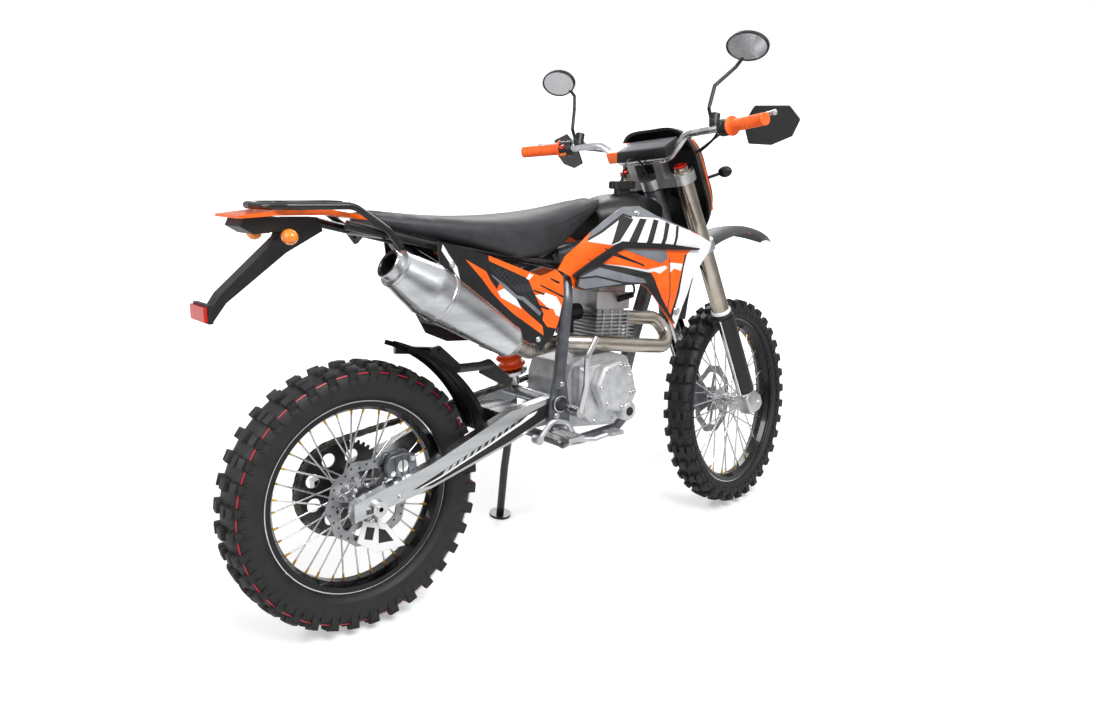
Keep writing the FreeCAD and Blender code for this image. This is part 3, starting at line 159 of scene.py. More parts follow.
# Each grained finish: dark and light colour, metallic, roughness range, grain and bump in mm, coat, stretch.
grainedFinishes = {
    # moulded tyre rubber: near black, dull, faint bloom in broad patches
    "tyreRubber": ("#0b0b0c", "#19191b", 0.0, (0.5, 0.72), 1.2, 0.25),
    # gloss black anodised alloy rim
    "anodisedRim": ("#0c0c0d", "#151517", 0.75, (0.16, 0.26), 2.0, 0.01, 0.4),
    # drawn stainless steel wire and turned hub parts
    "stainless": ("#c4c4c6", "#dcdcdd", 1.0, (0.18, 0.3), 3.0, 0.02),
    # cast and machined aluminium: pale, soft highlights
    "castAluminium": ("#bcbdbf", "#d6d7d8", 0.95, (0.3, 0.42), 1.5, 0.08),
    # blasted and painted silver engine cases
    "silverCase": ("#b9bbbd", "#cfd0d2", 0.55, (0.32, 0.45), 0.8, 0.06, 0.15),
    # polished and brushed aluminium extrusion
    "brushedAluminium": ("#b4b6b9", "#cfd1d3", 1.0, (0.2, 0.32), 1.0, 0.03, 0.0, (0.05, 1, 1)),
    # hard anodised champagne fork tube
    "champagneTube": ("#a99f92", "#c4bbae", 1.0, (0.16, 0.24), 2.0, 0.01, 0.2),
    # brushed stainless exhaust with the faint brown of heat
    "exhaustSteel": ("#a49a8c", "#c9c4bb", 1.0, (0.2, 0.34), 1.0, 0.03, 0.0, (0.08, 1, 1)),
    # powder-coated frame, dark grey with a little shine
    "frameGrey": ("#56595e", "#686b71", 0.6, (0.32, 0.42), 1.2, 0.04, 0.3),
    # gloss black painted steel
    "blackSteel": ("#0d0d0e", "#161618", 0.1, (0.25, 0.36), 1.5, 0.02, 0.3),
    # textured black ABS
    "blackAbs": ("#09090a", "#121214", 0.0, (0.36, 0.5), 0.9, 0.06),
    # smooth gloss white moulding
    "whitePlastic": ("#e4e5e6", "#eeeeef", 0.0, (0.2, 0.28), 3.0, 0.01, 0.4),
    # bright orange gloss moulding
    "orangePlastic": ("#f25c08", "#f76a14", 0.0, (0.22, 0.3), 3.0, 0.01, 0.35),
    # orange paint on a coil spring
    "orangePaint": ("#e4480c", "#ee5814", 0.0, (0.28, 0.36), 2.0, 0.02, 0.3),
    # pressed vinyl seat cover, fine leather-like grain
    "seatVinyl": ("#232427", "#2f3034", 0.0, (0.48, 0.6), 1.4, 0.22),
    # moulded soft orange rubber of the grips
    "gripRubber": ("#ee5a10", "#f4691f", 0.0, (0.5, 0.62), 1.0, 0.08),
    # roller chain steel, oiled
    "chainSteel": ("#4d4a46", "#77726a", 0.95, (0.3, 0.45), 1.0, 0.05),
    # red moulded lens
    "redLens": ("#b3170f", "#c92217", 0.0, (0.12, 0.2), 2.0, 0.02, 0.6),
    # amber moulded lens
    "amberLens": ("#e8780c", "#f28a1c", 0.0, (0.12, 0.2), 2.0, 0.02, 0.6),
    # red paint line moulded round the tyre's shoulder
    "redPaint": ("#a3122a", "#b81c34", 0.0, (0.4, 0.5), 2.0, 0.02),
    # turned brass, yellow passivated
    "brassNipple": ("#b98d2e", "#cda343", 1.0, (0.24, 0.34), 1.0, 0.02),
    # satin dark grey moulding
    "greyPlastic": ("#6d7076", "#7d8087", 0.1, (0.3, 0.4), 1.5, 0.03, 0.2),
    # ground brake disc steel
    "discSteel": ("#86888c", "#a0a2a5", 1.0, (0.26, 0.36), 0.8, 0.04),
    # grey anodised caliper body
    "caliperGrey": ("#5c5f64", "#73767b", 0.8, (0.3, 0.42), 1.2, 0.06),
    # grey foam-backed vinyl of the bar pad
    "padGrey": ("#3c3e42", "#4a4c51", 0.0, (0.5, 0.62), 1.2, 0.1),
    # silvered mirror glass
    "mirrorGlass": ("#c2c5c8", "#d0d3d6", 0.55, (0.08, 0.12), 5.0, 0.0),
    # red anodised fork caps
    "redAnodised": ("#c81e12", "#d82a1c", 0.7, (0.25, 0.35), 2.0, 0.01, 0.2),
    # clear lamp lens
    "clearLens": ("#b8bcc0", "#d2d6da", 0.3, (0.06, 0.12), 4.0, 0.02, 0.8),
}
finishes = {name: grained(name, *values) for name, values in grainedFinishes.items()}
# black moulded mesh over the air vent, drawn coarser than life so that it shows
finishes["ventMesh"] = meshed("ventMesh", "#08080a", "#2c2d31", 11.0, 1.2)
nodeFinish = {
    "tyreRubber": ["rear_tyre", "front_tyre"],
    "anodisedRim": ["rear_rim", "front_rim"],
    "stainless": ["rear_hub", "front_hub", "rear_axle", "kick_lever", "gear_lever", "footpegs"],
    "discSteel": ["rear_brake_disc", "front_brake_disc"],
    "caliperGrey": ["rear_caliper", "front_caliper"],
    "castAluminium": ["triple_clamps", "brake_pedal", "cylinder_head"],
    "silverCase": ["engine_crankcase", "clutch_cover"],
    "brushedAluminium": ["swingarm", "handlebar", "muffler"],
    "champagneTube": ["fork_tubes"],
    "exhaustSteel": ["exhaust_header"],
    "frameGrey": ["main_frame"],
    "blackSteel": ["rear_sprocket", "rear_subframe", "luggage_rack", "passenger_pegs", "side_stand"],
    "blackAbs": ["air_intake", "fuel_tank", "tank_cap", "side_panels", "inner_fender", "plate_holder",
                 "tail_light", "bar_controls", "bar_pad", "mirrors", "handguards", "headlight_mask",
                 "front_fender", "front_signals", "fork_legs"],
    "whitePlastic": ["shrouds", "disc_guard"],
    "orangePlastic": ["rear_fender"],
    "orangePaint": ["rear_shock"],
    "seatVinyl": ["seat"],
    "gripRubber": ["grips"],
    "chainSteel": ["drive_chain"],
    "redLens": ["rear_reflector"],
    "amberLens": ["rear_signals"],
    "clearLens": ["headlight"],
}
for finish, names in nodeFinish.items():
    for name in names:
        nodes[name].data.materials.clear()
        nodes[name].data.materials.append(finishes[finish])
print("finishes on", len(nodes), "nodes")


# Pieces are drawn in millimetres in the frame of the body that carries them.
def addPiece(name, bm, body, finishNames, replaced=(), smoothDeg=35.0):
    bm.transform(places[body])
    bmesh.ops.recalc_face_normals(bm, faces=bm.faces)
    mesh = bpy.data.meshes.new(name)
    bm.to_mesh(mesh)
    bm.free()
    for finish in finishNames:
        mesh.materials.append(finishes[finish])
    mesh.shade_smooth()
    mesh.set_sharp_from_angle(angle=math.radians(smoothDeg))
    piece = bpy.data.objects.new(name, mesh)
    bpy.context.scene.collection.objects.link(piece)
    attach(piece, body)
    if replaced:
        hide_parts(*replaced)


def turned(axis, degrees):
    return Matrix.Rotation(math.radians(degrees), 4, axis)


def shift(x, y, z):
    return Matrix.Translation((x, y, z))


def aimed(start, end):
    start, end = Vector(start), Vector(end)
    return shift(*start) @ (end - start).to_track_quat("Z", "Y").to_matrix().to_4x4()


def handed(point, hand):
    return Vector((point[0], hand * point[1], point[2]))


def wheelPoint(radius, side, angle):
    return Vector((radius * math.cos(angle), side, radius * math.sin(angle)))


def newSince(bm, before):
    return [vert for vert in bm.verts if vert not in before]


def paint(verts, index):
    for face in {face for vert in verts for face in vert.link_faces}:
        face.material_index = index


def addBlock(bm, place, size, taper=1.0):
    made = bmesh.ops.create_cube(bm, size=1.0, matrix=Matrix.Diagonal((*size, 1.0)))["verts"]
    for vert in made:
        if vert.co.x > 0:
            vert.co.y *= taper
            vert.co.z *= taper
    bmesh.ops.transform(bm, matrix=place, verts=made)
    return made


def addRod(bm, start, end, radius, sides=12, endRadius=None):
    start, end = Vector(start), Vector(end)
    place = shift(*((start + end) / 2)) @ (end - start).to_track_quat("Z", "Y").to_matrix().to_4x4()
    far = radius if endRadius is None else endRadius
    return bmesh.ops.create_cone(bm, cap_ends=True, segments=sides, radius1=radius, radius2=far,
                                 depth=(end - start).length, matrix=place)["verts"]


def spinLine(bm, points, axis, sides, closed=False):
    ring = [bm.verts.new(point) for point in points]
    edges = [bm.edges.new(pair) for pair in zip(ring, ring[1:] + (ring[:1] if closed else []))]
    bmesh.ops.spin(bm, geom=ring + edges, cent=(0, 0, 0), axis=axis, angle=math.tau, steps=sides,
                   use_merge=True)


# Round pieces are spun from steps of (along, radius).
def addSpun(bm, profile, place, sides=48):
    before = set(bm.verts)
    spinLine(bm, [(radius, 0, along) for along, radius in profile], (0, 0, 1), sides)
    bmesh.ops.remove_doubles(bm, verts=newSince(bm, before), dist=0.01)
    made = newSince(bm, before)
    bmesh.ops.transform(bm, matrix=place, verts=made)
    return made


def addStrips(bm, rows):
    for low, high in zip(rows, rows[1:]):
        for index in range(len(low) - 1):
            bm.faces.new((low[index], low[index + 1], high[index + 1], high[index]))


def roundEdges(bm, offset, segments=2, minDeg=30.0):
    bm.normal_update()
    sharp = [edge for edge in bm.edges if edge.is_manifold and edge.calc_face_angle(0) > math.radians(minDeg)]
    bmesh.ops.bevel(bm, geom=sharp, offset=offset, segments=segments, profile=0.5, affect="EDGES",
                    material=-1, clamp_overlap=True)


def extrudeFaces(bm, faces, reach):
    grown = bmesh.ops.extrude_face_region(bm, geom=faces, use_keep_orig=True)["geom"]
    made = [item for item in grown if isinstance(item, bmesh.types.BMVert)]
    bmesh.ops.translate(bm, verts=made, vec=(0, reach, 0))


# A prism over a side outline, its edges rounded on its own before it joins the rest.
def addRounded(bm, points, span, offset, index=0, segments=3):
    part = bmesh.new()
    face = part.faces.new([part.verts.new((x, span[0], z)) for x, z in points])
    extrudeFaces(part, [face], span[1] - span[0])
    roundEdges(part, offset, segments)
    mesh = bpy.data.meshes.new("part")
    part.to_mesh(mesh)
    part.free()
    before = set(bm.verts)
    bm.from_mesh(mesh)
    paint(newSince(bm, before), index)


def makeHose(name, points, radius, body, finish="blackAbs"):
    data = bpy.data.curves.new(name, "CURVE")
    data.dimensions = "3D"
    spline = data.splines.new("NURBS")
    spline.points.add(len(points) - 1)
    for item, point in zip(spline.points, points):
        item.co = (*point, 1.0)
    spline.order_u = 4
    spline.use_endpoint_u = True
    data.bevel_depth = radius
    data.bevel_resolution = 2
    data.resolution_u = 6
    data.use_fill_caps = True
    line = bpy.data.objects.new(name + "Line", data)
    bm = bmesh.new()
    bm.from_mesh(bpy.data.meshes.new_from_object(line))
    bpy.data.objects.remove(line)
    addPiece(name, bm, body, [finish])


# What is looked at from the side, so that bolts, lines and seams land on its skin.
def skinOf(body, *pieces):
    bm = bmesh.new()
    for piece in pieces:
        bm.from_mesh(piece.data)
    bm.transform(places[body].inverted())
    skin = BVHTree.FromBMesh(bm)
    bm.free()
    return skin


def landed(skin, along, up, hand):
    return skin.ray_cast(Vector((along, hand * 400, up)), Vector((0, -hand, 0)))[:2]


# Tyres: a spun carcass under blocks of tread, with ribs down the side wall.
tyreTread = {"rows": 36, "lugShare": 0.56, "knobHeight": 14.0, "sunk": 6.0, "edgeRound": 1.5, "sides": 144}
tyreSizes = {
    "rear": {"radius": 337.0, "width": 114.0, "rim": 243.5, "body": "rear_wheel", "redLine": True},
    "front": {"radius": 349.0, "width": 92.0, "rim": 281.5, "body": "front_wheel", "redLine": False},
}


def treadBlock(bm, angle, side, radius, size, lean=0.0):
    # size is height, width across the tread and length round the tyre
    addBlock(bm, turned("Y", -angle) @ shift(radius, side, 0) @ turned("Z", lean), size, 0.9)


def makeTyre(which):
    sizes = tyreSizes[which]
    half, radius, body = sizes["width"] / 2, sizes["radius"], sizes["body"]
    base = radius - tyreTread["knobHeight"]
    bead = sizes["rim"] + 1.0
    middle = bead + (radius - bead) * 0.47
    pitch = 360.0 / tyreTread["rows"]
    lug = math.radians(pitch) * tyreTread["lugShare"] * radius
    height = tyreTread["knobHeight"] + tyreTread["sunk"]
    crown = radius - height / 2 - 0.3
    bm = bmesh.new()
    for row in range(tyreTread["rows"]):
        angle = pitch * (row + tyreTread["lugShare"] / 2)
        if row % 2 == 0:
            treadBlock(bm, angle, 0.0, crown, (height, half * 0.5, lug * 0.92))
        for hand in (1, -1):
            side = hand * half
            if row % 2 == 1:
                treadBlock(bm, angle, side * 0.33, crown - 0.8, (height, half * 0.34, lug * 0.9), hand * 5)
            treadBlock(bm, angle, side * 0.735, crown - 5.2, (height, half * 0.36, lug * 0.86), hand * 22)
            treadBlock(bm, angle, side * 0.9, base - 13, (22, 5.5, lug * 0.7), hand * 8)
            for step in (-0.22, 0.22):
                treadBlock(bm, angle + step * pitch, side * 0.955, base - 27, (22, 3.4, lug * 0.18))
    roundEdges(bm, tyreTread["edgeRound"])
    walls = [(0.0, base), (0.35, base - 0.6), (0.62, base - 3), (0.8, base - 9), (0.9, base - 18),
             (0.955, base - 30), (0.968, middle), (0.95, middle - 9), (0.9, middle - 18),
             (0.905, middle - 19.5), (0.86, bead + 16), (0.865, bead + 14), (0.78, bead + 7),
             (0.66, bead + 1), (0.6, bead)]
    outline = walls + [(-share, reach) for share, reach in walls[:0:-1]]
    spinLine(bm, [(reach, share * half, 0) for share, reach in outline], (0, 1, 0), tyreTread["sides"], True)
    addPiece(which + "TyreTread", bm, body, ["tyreRubber"], [which + "_tyre"])
    if sizes["redLine"]:
        band = bmesh.new()
        for hand in (1, -1):
            edge = [(base - 7.5, hand * half * 0.84, 0), (base - 10.5, hand * half * 0.87, 0)]
            spinLine(band, edge, (0, 1, 0), tyreTread["sides"])
        addPiece(which + "TyrePaintLine", band, body, ["redPaint"])


# Spoke nipples of brass at the rim's bed.
wheelSpokes = {"count": 36, "lacing": 1.15, "hubRadius": 29.0, "hubSide": 28.0, "rimDepth": 25.0,
               "rimSide": 4.0, "nippleLength": 15.0, "nippleRadius": 3.3, "nippleTip": 2.5}


def makeNipples(which):
    sizes = tyreSizes[which]
    bm = bmesh.new()
    for index in range(wheelSpokes["count"]):
        side = 1 if index % 2 == 0 else -1
        lacing = wheelSpokes["lacing"] if (index // 2) % 2 == 0 else -wheelSpokes["lacing"]
        angle = math.tau * index / wheelSpokes["count"]
        hub = wheelPoint(wheelSpokes["hubRadius"], side * wheelSpokes["hubSide"], angle + lacing)
        rim = wheelPoint(sizes["rim"] - wheelSpokes["rimDepth"], side * wheelSpokes["rimSide"], angle)
        tip = rim + (hub - rim).normalized() * wheelSpokes["nippleLength"]
        addRod(bm, rim, tip, wheelSpokes["nippleRadius"], 8, wheelSpokes["nippleTip"])
    addPiece(which + "Nipples", bm, sizes["body"], ["brassNipple"])


for which in tyreSizes:
    makeTyre(which)
    makeNipples(which)
print("tyres and nipples")

# Drive chain: roller links laid along the sprockets' pitch line.
driveChain = {"pitch": 15.875, "line": 72.0, "rearTeeth": 48, "frontTeeth": 13, "shaft": (632.0, 0.0, 506.0),
              "plateHigh": 12.6, "plateThick": 1.8, "rollerRadius": 5.1, "innerHalf": 4.4, "outerHalf": 6.6,
              "pinOut": 1.6, "pinRadius": 2.4}


def chainPath():
    pitch, line = driveChain["pitch"], driveChain["line"]
    rear, front = Vector((0, 0, bike["rearTyreRadius"])), Vector(driveChain["shaft"])
    big = pitch / (2 * math.sin(math.pi / driveChain["rearTeeth"]))
    small = pitch / (2 * math.sin(math.pi / driveChain["frontTeeth"]))
    run = front - rear
    slope = math.atan2(run.z, run.x)
    lean = math.asin((big - small) / run.length)
    straight = math.sqrt(run.length ** 2 - (big - small) ** 2)
    top = slope + math.pi / 2 - lean
    bottom = slope - math.pi / 2 + lean
    wraps = (bottom + math.tau - top, top - bottom)
    ends = [centre + wheelPoint(radius, line, angle) for centre, radius, angle in
            ((rear, big, bottom), (front, small, bottom), (front, small, top), (rear, big, top))]
    # round the rear sprocket, forward along the bottom, round the front one and back along the top
    spans = [(lambda share: rear + wheelPoint(big, line, top + wraps[0] * share), big * wraps[0]),
             (lambda share: ends[0].lerp(ends[1], share), straight),
             (lambda share: front + wheelPoint(small, line, bottom + wraps[1] * share), small * wraps[1]),
             (lambda share: ends[2].lerp(ends[3], share), straight)]
    total = sum(length for _, length in spans)
    count = int(total / pitch) // 2 * 2
    points = []
    for index in range(count):
        travel = total * index / count
        for pointAt, length in spans:
            if travel <= length:
                break
            travel -= length
        points.append(pointAt(travel / length))
    return points


def makeChain():
    bm = bmesh.new()
    points = chainPath()
    inner, outer, high = driveChain["innerHalf"], driveChain["outerHalf"], driveChain["plateHigh"]
    for index, (start, end) in enumerate(zip(points, points[1:] + points[:1])):
        along = end - start
        place = shift(*((start + end) / 2)) @ turned("Y", -math.degrees(math.atan2(along.z, along.x)))
        size = (along.length + high * 0.86, driveChain["plateThick"], high)
        half = inner if index % 2 == 0 else outer
        for hand in (1, -1):
            plate = addBlock(bm, place @ shift(0, hand * half, 0), size)
            across = [edge for edge in {edge for vert in plate for edge in vert.link_edges}
                      if abs((edge.verts[0].co - edge.verts[1].co).normalized().y) > 0.9]
            bmesh.ops.bevel(bm, geom=across, offset=high * 0.42, segments=3, profile=0.5, affect="EDGES",
                            material=-1)
        for reach, radius, sides in ((inner, driveChain["rollerRadius"], 10),
                                     (outer + driveChain["pinOut"], driveChain["pinRadius"], 8)):
            addRod(bm, start - Vector((0, reach, 0)), start + Vector((0, reach, 0)), radius, sides)
    addPiece("rollerChain", bm, "chassis", ["chainSteel"], ["drive_chain"])


makeChain()
print("chain")


# Bodywork: sheets scored along their stripes, then bent to the bike's flanks.
def inside(x, z, outline):
    within = False
    for (x0, z0), (x1, z1) in zip(outline, outline[1:] + outline[:1]):
        if (z0 > z) != (z1 > z) and x < x0 + (z - z0) * (x1 - x0) / (z1 - z0):
            within = not within
    return within


def score(bm, start, end):
    low = (min(start[0], end[0]) - 1, min(start[1], end[1]) - 1)
    high = (max(start[0], end[0]) + 1, max(start[1], end[1]) + 1)
    near = []
    for face in bm.faces:
        xs = [vert.co.x for vert in face.verts]
        zs = [vert.co.z for vert in face.verts]
        if max(xs) >= low[0] and min(xs) <= high[0] and max(zs) >= low[1] and min(zs) <= high[1]:
            near.append(face)
    edges = {edge for face in near for edge in face.edges}
    verts = {vert for face in near for vert in face.verts}
    across = Vector((end[1] - start[1], 0, start[0] - end[0]))
    bmesh.ops.bisect_plane(bm, geom=list(verts) + list(edges) + near, dist=0.02,
                           plane_co=(start[0], 0, start[1]), plane_no=across.normalized())


def stripedSheet(outline, stripes, step=24.0):
    bm = bmesh.new()
    bm.faces.new([bm.verts.new((x, 0, z)) for x, z in outline])
    xs = [x for x, z in outline]
    zs = [z for x, z in outline]
    for index in range(1, int((max(xs) - min(xs)) / step) + 1):
        x = min(xs) + index * step
        score(bm, (x, min(zs)), (x, max(zs)))
    for index in range(1, int((max(zs) - min(zs)) / step) + 1):
        z = min(zs) + index * step
        score(bm, (min(xs), z), (max(xs), z))
    for _, points in stripes:
        for start, end in zip(points, points[1:] + points[:1]):
            score(bm, start, end)
    for face in bm.faces:
        centre = face.calc_center_median()
        for index, (_, points) in enumerate(stripes, start=1):
            if inside(centre.x, centre.z, points):
                face.material_index = index
    return bm


def faceToward(bm, axis, hand):
    bmesh.ops.recalc_face_normals(bm, faces=bm.faces)
    if sum(face.normal[axis] * hand for face in bm.faces) < 0:
        bmesh.ops.reverse_faces(bm, faces=bm.faces)


def bendSheet(bm, flank, thick, hand):
    bmesh.ops.triangulate(bm, faces=bm.faces)
    for vert in bm.verts:
        vert.co.y = hand * flank(vert.co.x, vert.co.z)
    faceToward(bm, 1, hand)
    extrudeFaces(bm, list(bm.faces), -hand * thick)


# Bends and stripes a sheet for each flank; its first finish is the ground that the stripes lie on.
def addSheets(label, outline, stripes, ground, flank, thick, replaced=(), step=24.0):
    for hand, sideName in flanks:
        bm = stripedSheet(outline, stripes, step)
        bendSheet(bm, flank, thick, hand)
        addPiece(sideName + label, bm, "chassis", [ground] + [finish for finish, _ in stripes],
                 replaced if hand < 0 else ())


def steps(value, points):
    if value <= points[0][0]:
        return points[0][1]
    for (x0, y0), (x1, y1) in zip(points, points[1:]):
        if value <= x1:
            return y0 + (y1 - y0) * (value - x0) / (x1 - x0)
    return points[-1][1]


shroud = {
    "thick": 3.0,
    "wingRise": 7.0, "wingShare": 0.8, "cover": 1.5, "lowerThick": 4.0,
    "facetRise": [(812, 0), (842, 9), (870, 0)],
    "bendHigh": 930, "bendLow": 780, "slopeHigh": 0.42, "slopeLow": 0.15,
    "outward": [(500, 124), (600, 134), (800, 165), (1000, 190), (1100, 192)],
    "outline": [(545, 868), (569, 902), (627, 941), (658, 961), (708, 988), (755, 1012), (783, 1024),
                (837, 1025), (889, 998), (993, 956), (1076, 916), (1067, 893), (1038, 862), (997, 814),
                (973, 741), (956, 673), (918, 712), (873, 762), (835, 801), (813, 814), (696, 812),
                (620, 808), (595, 816), (586, 846)],
    "stripes": [
        ("whitePlastic", [(642, 944), (680, 966), (776, 1012), (810, 1004), (860, 1000), (900, 994),
                          (1000, 957), (992, 940), (850, 940), (700, 935)]),
        ("greyPlastic", [(643, 944), (658, 963), (708, 990), (755, 1014), (783, 1028), (837, 1028),
                         (889, 1000), (993, 958), (992, 954), (887, 992), (854, 994), (803, 998),
                         (776, 1007), (687, 962)]),
        ("blackAbs", [(639, 937), (643, 944), (687, 962), (776, 1007), (803, 998), (803, 992),
                      (778, 1000), (692, 957)]),
        ("whitePlastic", [(639, 937), (692, 957), (778, 1000), (803, 992), (854, 990), (887, 988),
                          (992, 953), (1080, 918), (1070, 890), (1012, 900), (899, 918), (809, 925),
                          (747, 932), (717, 924)]),
        ("whitePlastic", [(1080, 918), (1075, 880), (1038, 850), (997, 805), (973, 735), (960, 665),
                          (939, 703), (956, 798), (966, 852), (976, 888), (1000, 907)]),
        ("blackAbs", [(976, 888), (969, 888), (949, 798), (931, 712), (939, 703), (956, 798), (966, 852)]),
        ("blackAbs", [(712, 925), (742, 934), (806, 990), (778, 1000), (757, 990)]),
        ("blackAbs", [(770, 931), (797, 928), (852, 990), (828, 992)]),
        ("blackAbs", [(828, 924), (848, 922), (892, 985), (875, 989)]),
        ("blackAbs", [(880, 919), (894, 918), (928, 975), (915, 981)]),
        ("blackAbs", [(924, 914), (933, 913), (958, 966), (949, 969)]),
        ("blackAbs", [(689, 919), (700, 909), (826, 860), (822, 867)]),
        ("blackAbs", [(629, 895), (675, 873), (668, 880)]),
        ("blackAbs", [(702, 905), (720, 896), (792, 872), (786, 880)]),
        ("whitePlastic", [(680, 876), (760, 866), (835, 852), (900, 860), (906, 853), (880, 838),
                          (860, 846), (835, 843), (750, 860)]),
        ("whitePlastic", [(912, 868), (962, 862), (955, 842), (932, 850), (914, 838)]),
        ("blackAbs", [(912, 880), (915, 880), (920, 782), (920, 726), (917, 730), (917, 782)]),
    ],
    "wing": [(587, 851), (654, 890), (720, 925), (747, 934), (809, 928), (899, 921), (1018, 904),
             (1016, 899), (906, 905), (821, 912), (756, 915), (728, 906), (658, 866), (604, 838)],
    "insert": [(748, 915), (897, 904), (906, 880), (884, 868), (760, 909)],
    "lowerWing": [(592, 834), (604, 850), (670, 878), (747, 864), (834, 844), (855, 822), (883, 771),
                  (948, 688), (944, 690), (870, 764), (834, 801), (813, 814), (696, 813), (620, 809),
                  (597, 818)],
    "facets": [("greyPlastic", [(603, 845), (670, 867), (812, 829), (826, 816), (748, 824), (655, 847)]),
               ("greyPlastic", [(602, 840), (655, 842), (745, 819), (625, 812), (602, 820)])],
}


def shroudFlank(x, z):
    above, below = max(0, z - shroud["bendHigh"]), max(0, shroud["bendLow"] - z)
    return steps(x, shroud["outward"]) - above * shroud["slopeHigh"] - below * shroud["slopeLow"]


def insertFlank(x, z):
    return shroudFlank(x, z) + shroud["cover"]


def wingFlank(x, z):
    return insertFlank(x, z) + shroud["wingRise"]


def facetFlank(x, z):
    return shroudFlank(x, z) + shroud["wingRise"] + steps(z, shroud["facetRise"])


def makeShrouds():
    rise = shroud["wingRise"] * shroud["wingShare"]
    addSheets("ShroudSkin", shroud["outline"], shroud["stripes"], "orangePlastic", shroudFlank,
              shroud["thick"], ["shrouds"])
    addSheets("ShroudWing", shroud["wing"], [], "blackAbs", wingFlank, rise)
    addSheets("ShroudInsert", shroud["insert"], [], "greyPlastic", insertFlank, rise)
    addSheets("ShroudLowerWing", shroud["lowerWing"], shroud["facets"], "blackAbs", facetFlank,
              shroud["lowerThick"], step=12.0)


makeShrouds()
print("shrouds")

# Silencer: a brushed cone with rolled seams and a dark outlet, partly painted shade.
muffler = {"front": (352, -192, 700), "rear": (6, -192, 921), "widest": 61.0, "outlet": 26.0,
           "darkOutletRadius": 31.0, "darkOutletFrom": 0.88, "sides": 72}


def makeMuffler():
    front, rear = Vector(muffler["front"]), Vector(muffler["rear"])
    length = (rear - front).length
    widest, outlet = muffler["widest"], muffler["outlet"]
    shares = [(0.0, 0), (0.0, 30), (0.012, 33), (0.044, 40), (0.05, 41.5), (0.062, 41.5), (0.068, 40.8),
              (0.34, widest - 9.5), (0.6, widest - 1), (0.605, widest + 0.8), (0.625, widest + 0.8),
              (0.63, widest - 0.4), (0.7, widest + 1.4), (0.72, widest + 2), (0.735, widest + 1),
              (0.76, widest - 2), (0.85, 52), (0.93, 44), (0.936, 45.6), (0.95, 45), (0.954, 35), (0.965, 34),
              (0.995, 34), (1.0, 33), (1.0, outlet + 1), (0.995, outlet), (0.9, outlet), (0.9, 0)]
    bm = bmesh.new()
    addSpun(bm, [(share * length, radius) for share, radius in shares], aimed(front, rear), muffler["sides"])
    axis = (rear - front).normalized()
    # faces near the axis at the outlet end are coloured dark: the lip, the bore and the disc closing the
    # bore; on the bore and disc this is painted shade for the depth of the open pipe
    for face in bm.faces:
        offset = face.calc_center_median() - front
        along = offset.dot(axis)
        if along > length * muffler["darkOutletFrom"] and (offset - axis * along).length < muffler["darkOutletRadius"]:
            face.material_index = 1
    addPiece("mufflerShell", bm, "chassis", ["brushedAluminium", "blackSteel"], ["muffler"],
             24)


makeMuffler()

# Side panels: black sheets with their streaks, a painted highlight and a mesh vent, on both flanks.
sidePanel = {
    "outer": 129.0, "thick": 5.0,
    "outline": [(176, 958), (320, 917), (448, 868), (487, 855), (504, 858), (538, 868), (562, 848),
                (564, 790), (545, 725), (530, 695), (477, 652), (360, 662), (294, 692), (182, 900)],
    "stripes": [
        ("orangePlastic", [(320, 922), (448, 872), (487, 859), (504, 862), (575, 892), (575, 765),
                           (537, 712), (508, 720), (492, 740), (496, 756), (461, 819), (444, 851),
                           (323, 903)]),
        ("whitePlastic", [(468, 806), (504, 810), (540, 796), (556, 772), (552, 742), (538, 748),
                          (530, 764), (508, 772), (486, 790)]),
        ("blackAbs", [(463, 822), (500, 808), (496, 804), (463, 817)]),
        ("blackAbs", [(483, 834), (572, 793), (572, 787), (487, 828)]),
        ("blackAbs", [(518, 848), (553, 834), (545, 830), (520, 843)]),
        ("blackAbs", [(475, 783), (512, 769), (516, 762), (481, 775)]),
        ("whitePlastic", [(438, 852), (450, 864), (463, 859), (448, 847)]),
        ("orangePlastic", [(253, 911), (314, 878), (326, 857), (346, 831), (354, 846), (397, 806),
                           (432, 771), (492, 724), (496, 698), (397, 765), (359, 797), (329, 826),
                           (301, 861)]),
        # painted highlight: a white patch laid on the orange swoosh where light glints on its gloss
        ("whitePlastic", [(348, 826), (369, 832), (407, 802), (424, 775), (397, 789), (359, 809)]),
        ("whitePlastic", [(190, 950), (204, 929), (230, 893), (238, 859), (230, 866), (210, 902),
                          (186, 936)]),
        ("greyPlastic", [(236, 857), (261, 841), (278, 807), (264, 817), (243, 848)]),
        ("ventMesh", [(330, 889), (394, 870), (438, 852), (461, 819), (483, 757), (432, 803), (330, 877)]),
        ("greyPlastic", [(330, 870), (374, 840), (409, 811), (432, 805), (488, 760), (483, 751),
                         (428, 795), (403, 806), (367, 834), (334, 864)]),
    ],
}
addSheets("SidePanel", sidePanel["outline"], sidePanel["stripes"], "blackAbs",
          lambda x, z: sidePanel["outer"], sidePanel["thick"], ["side_panels"], 60.0)
print("silencer and side panels")

# Seat: the cushion is blown up a little inside its stretched cover, then gets its seams.
seatCover = {"voxelMm": 6.0, "smoothings": 12, "pressure": 4.0, "frames": 20, "capMm": 3.0, "seamRadius": 1.3,
             "seam": [(90, 1012), (240, 984), (400, 968), (520, 968), (620, 990), (700, 1014), (745, 1030)]}


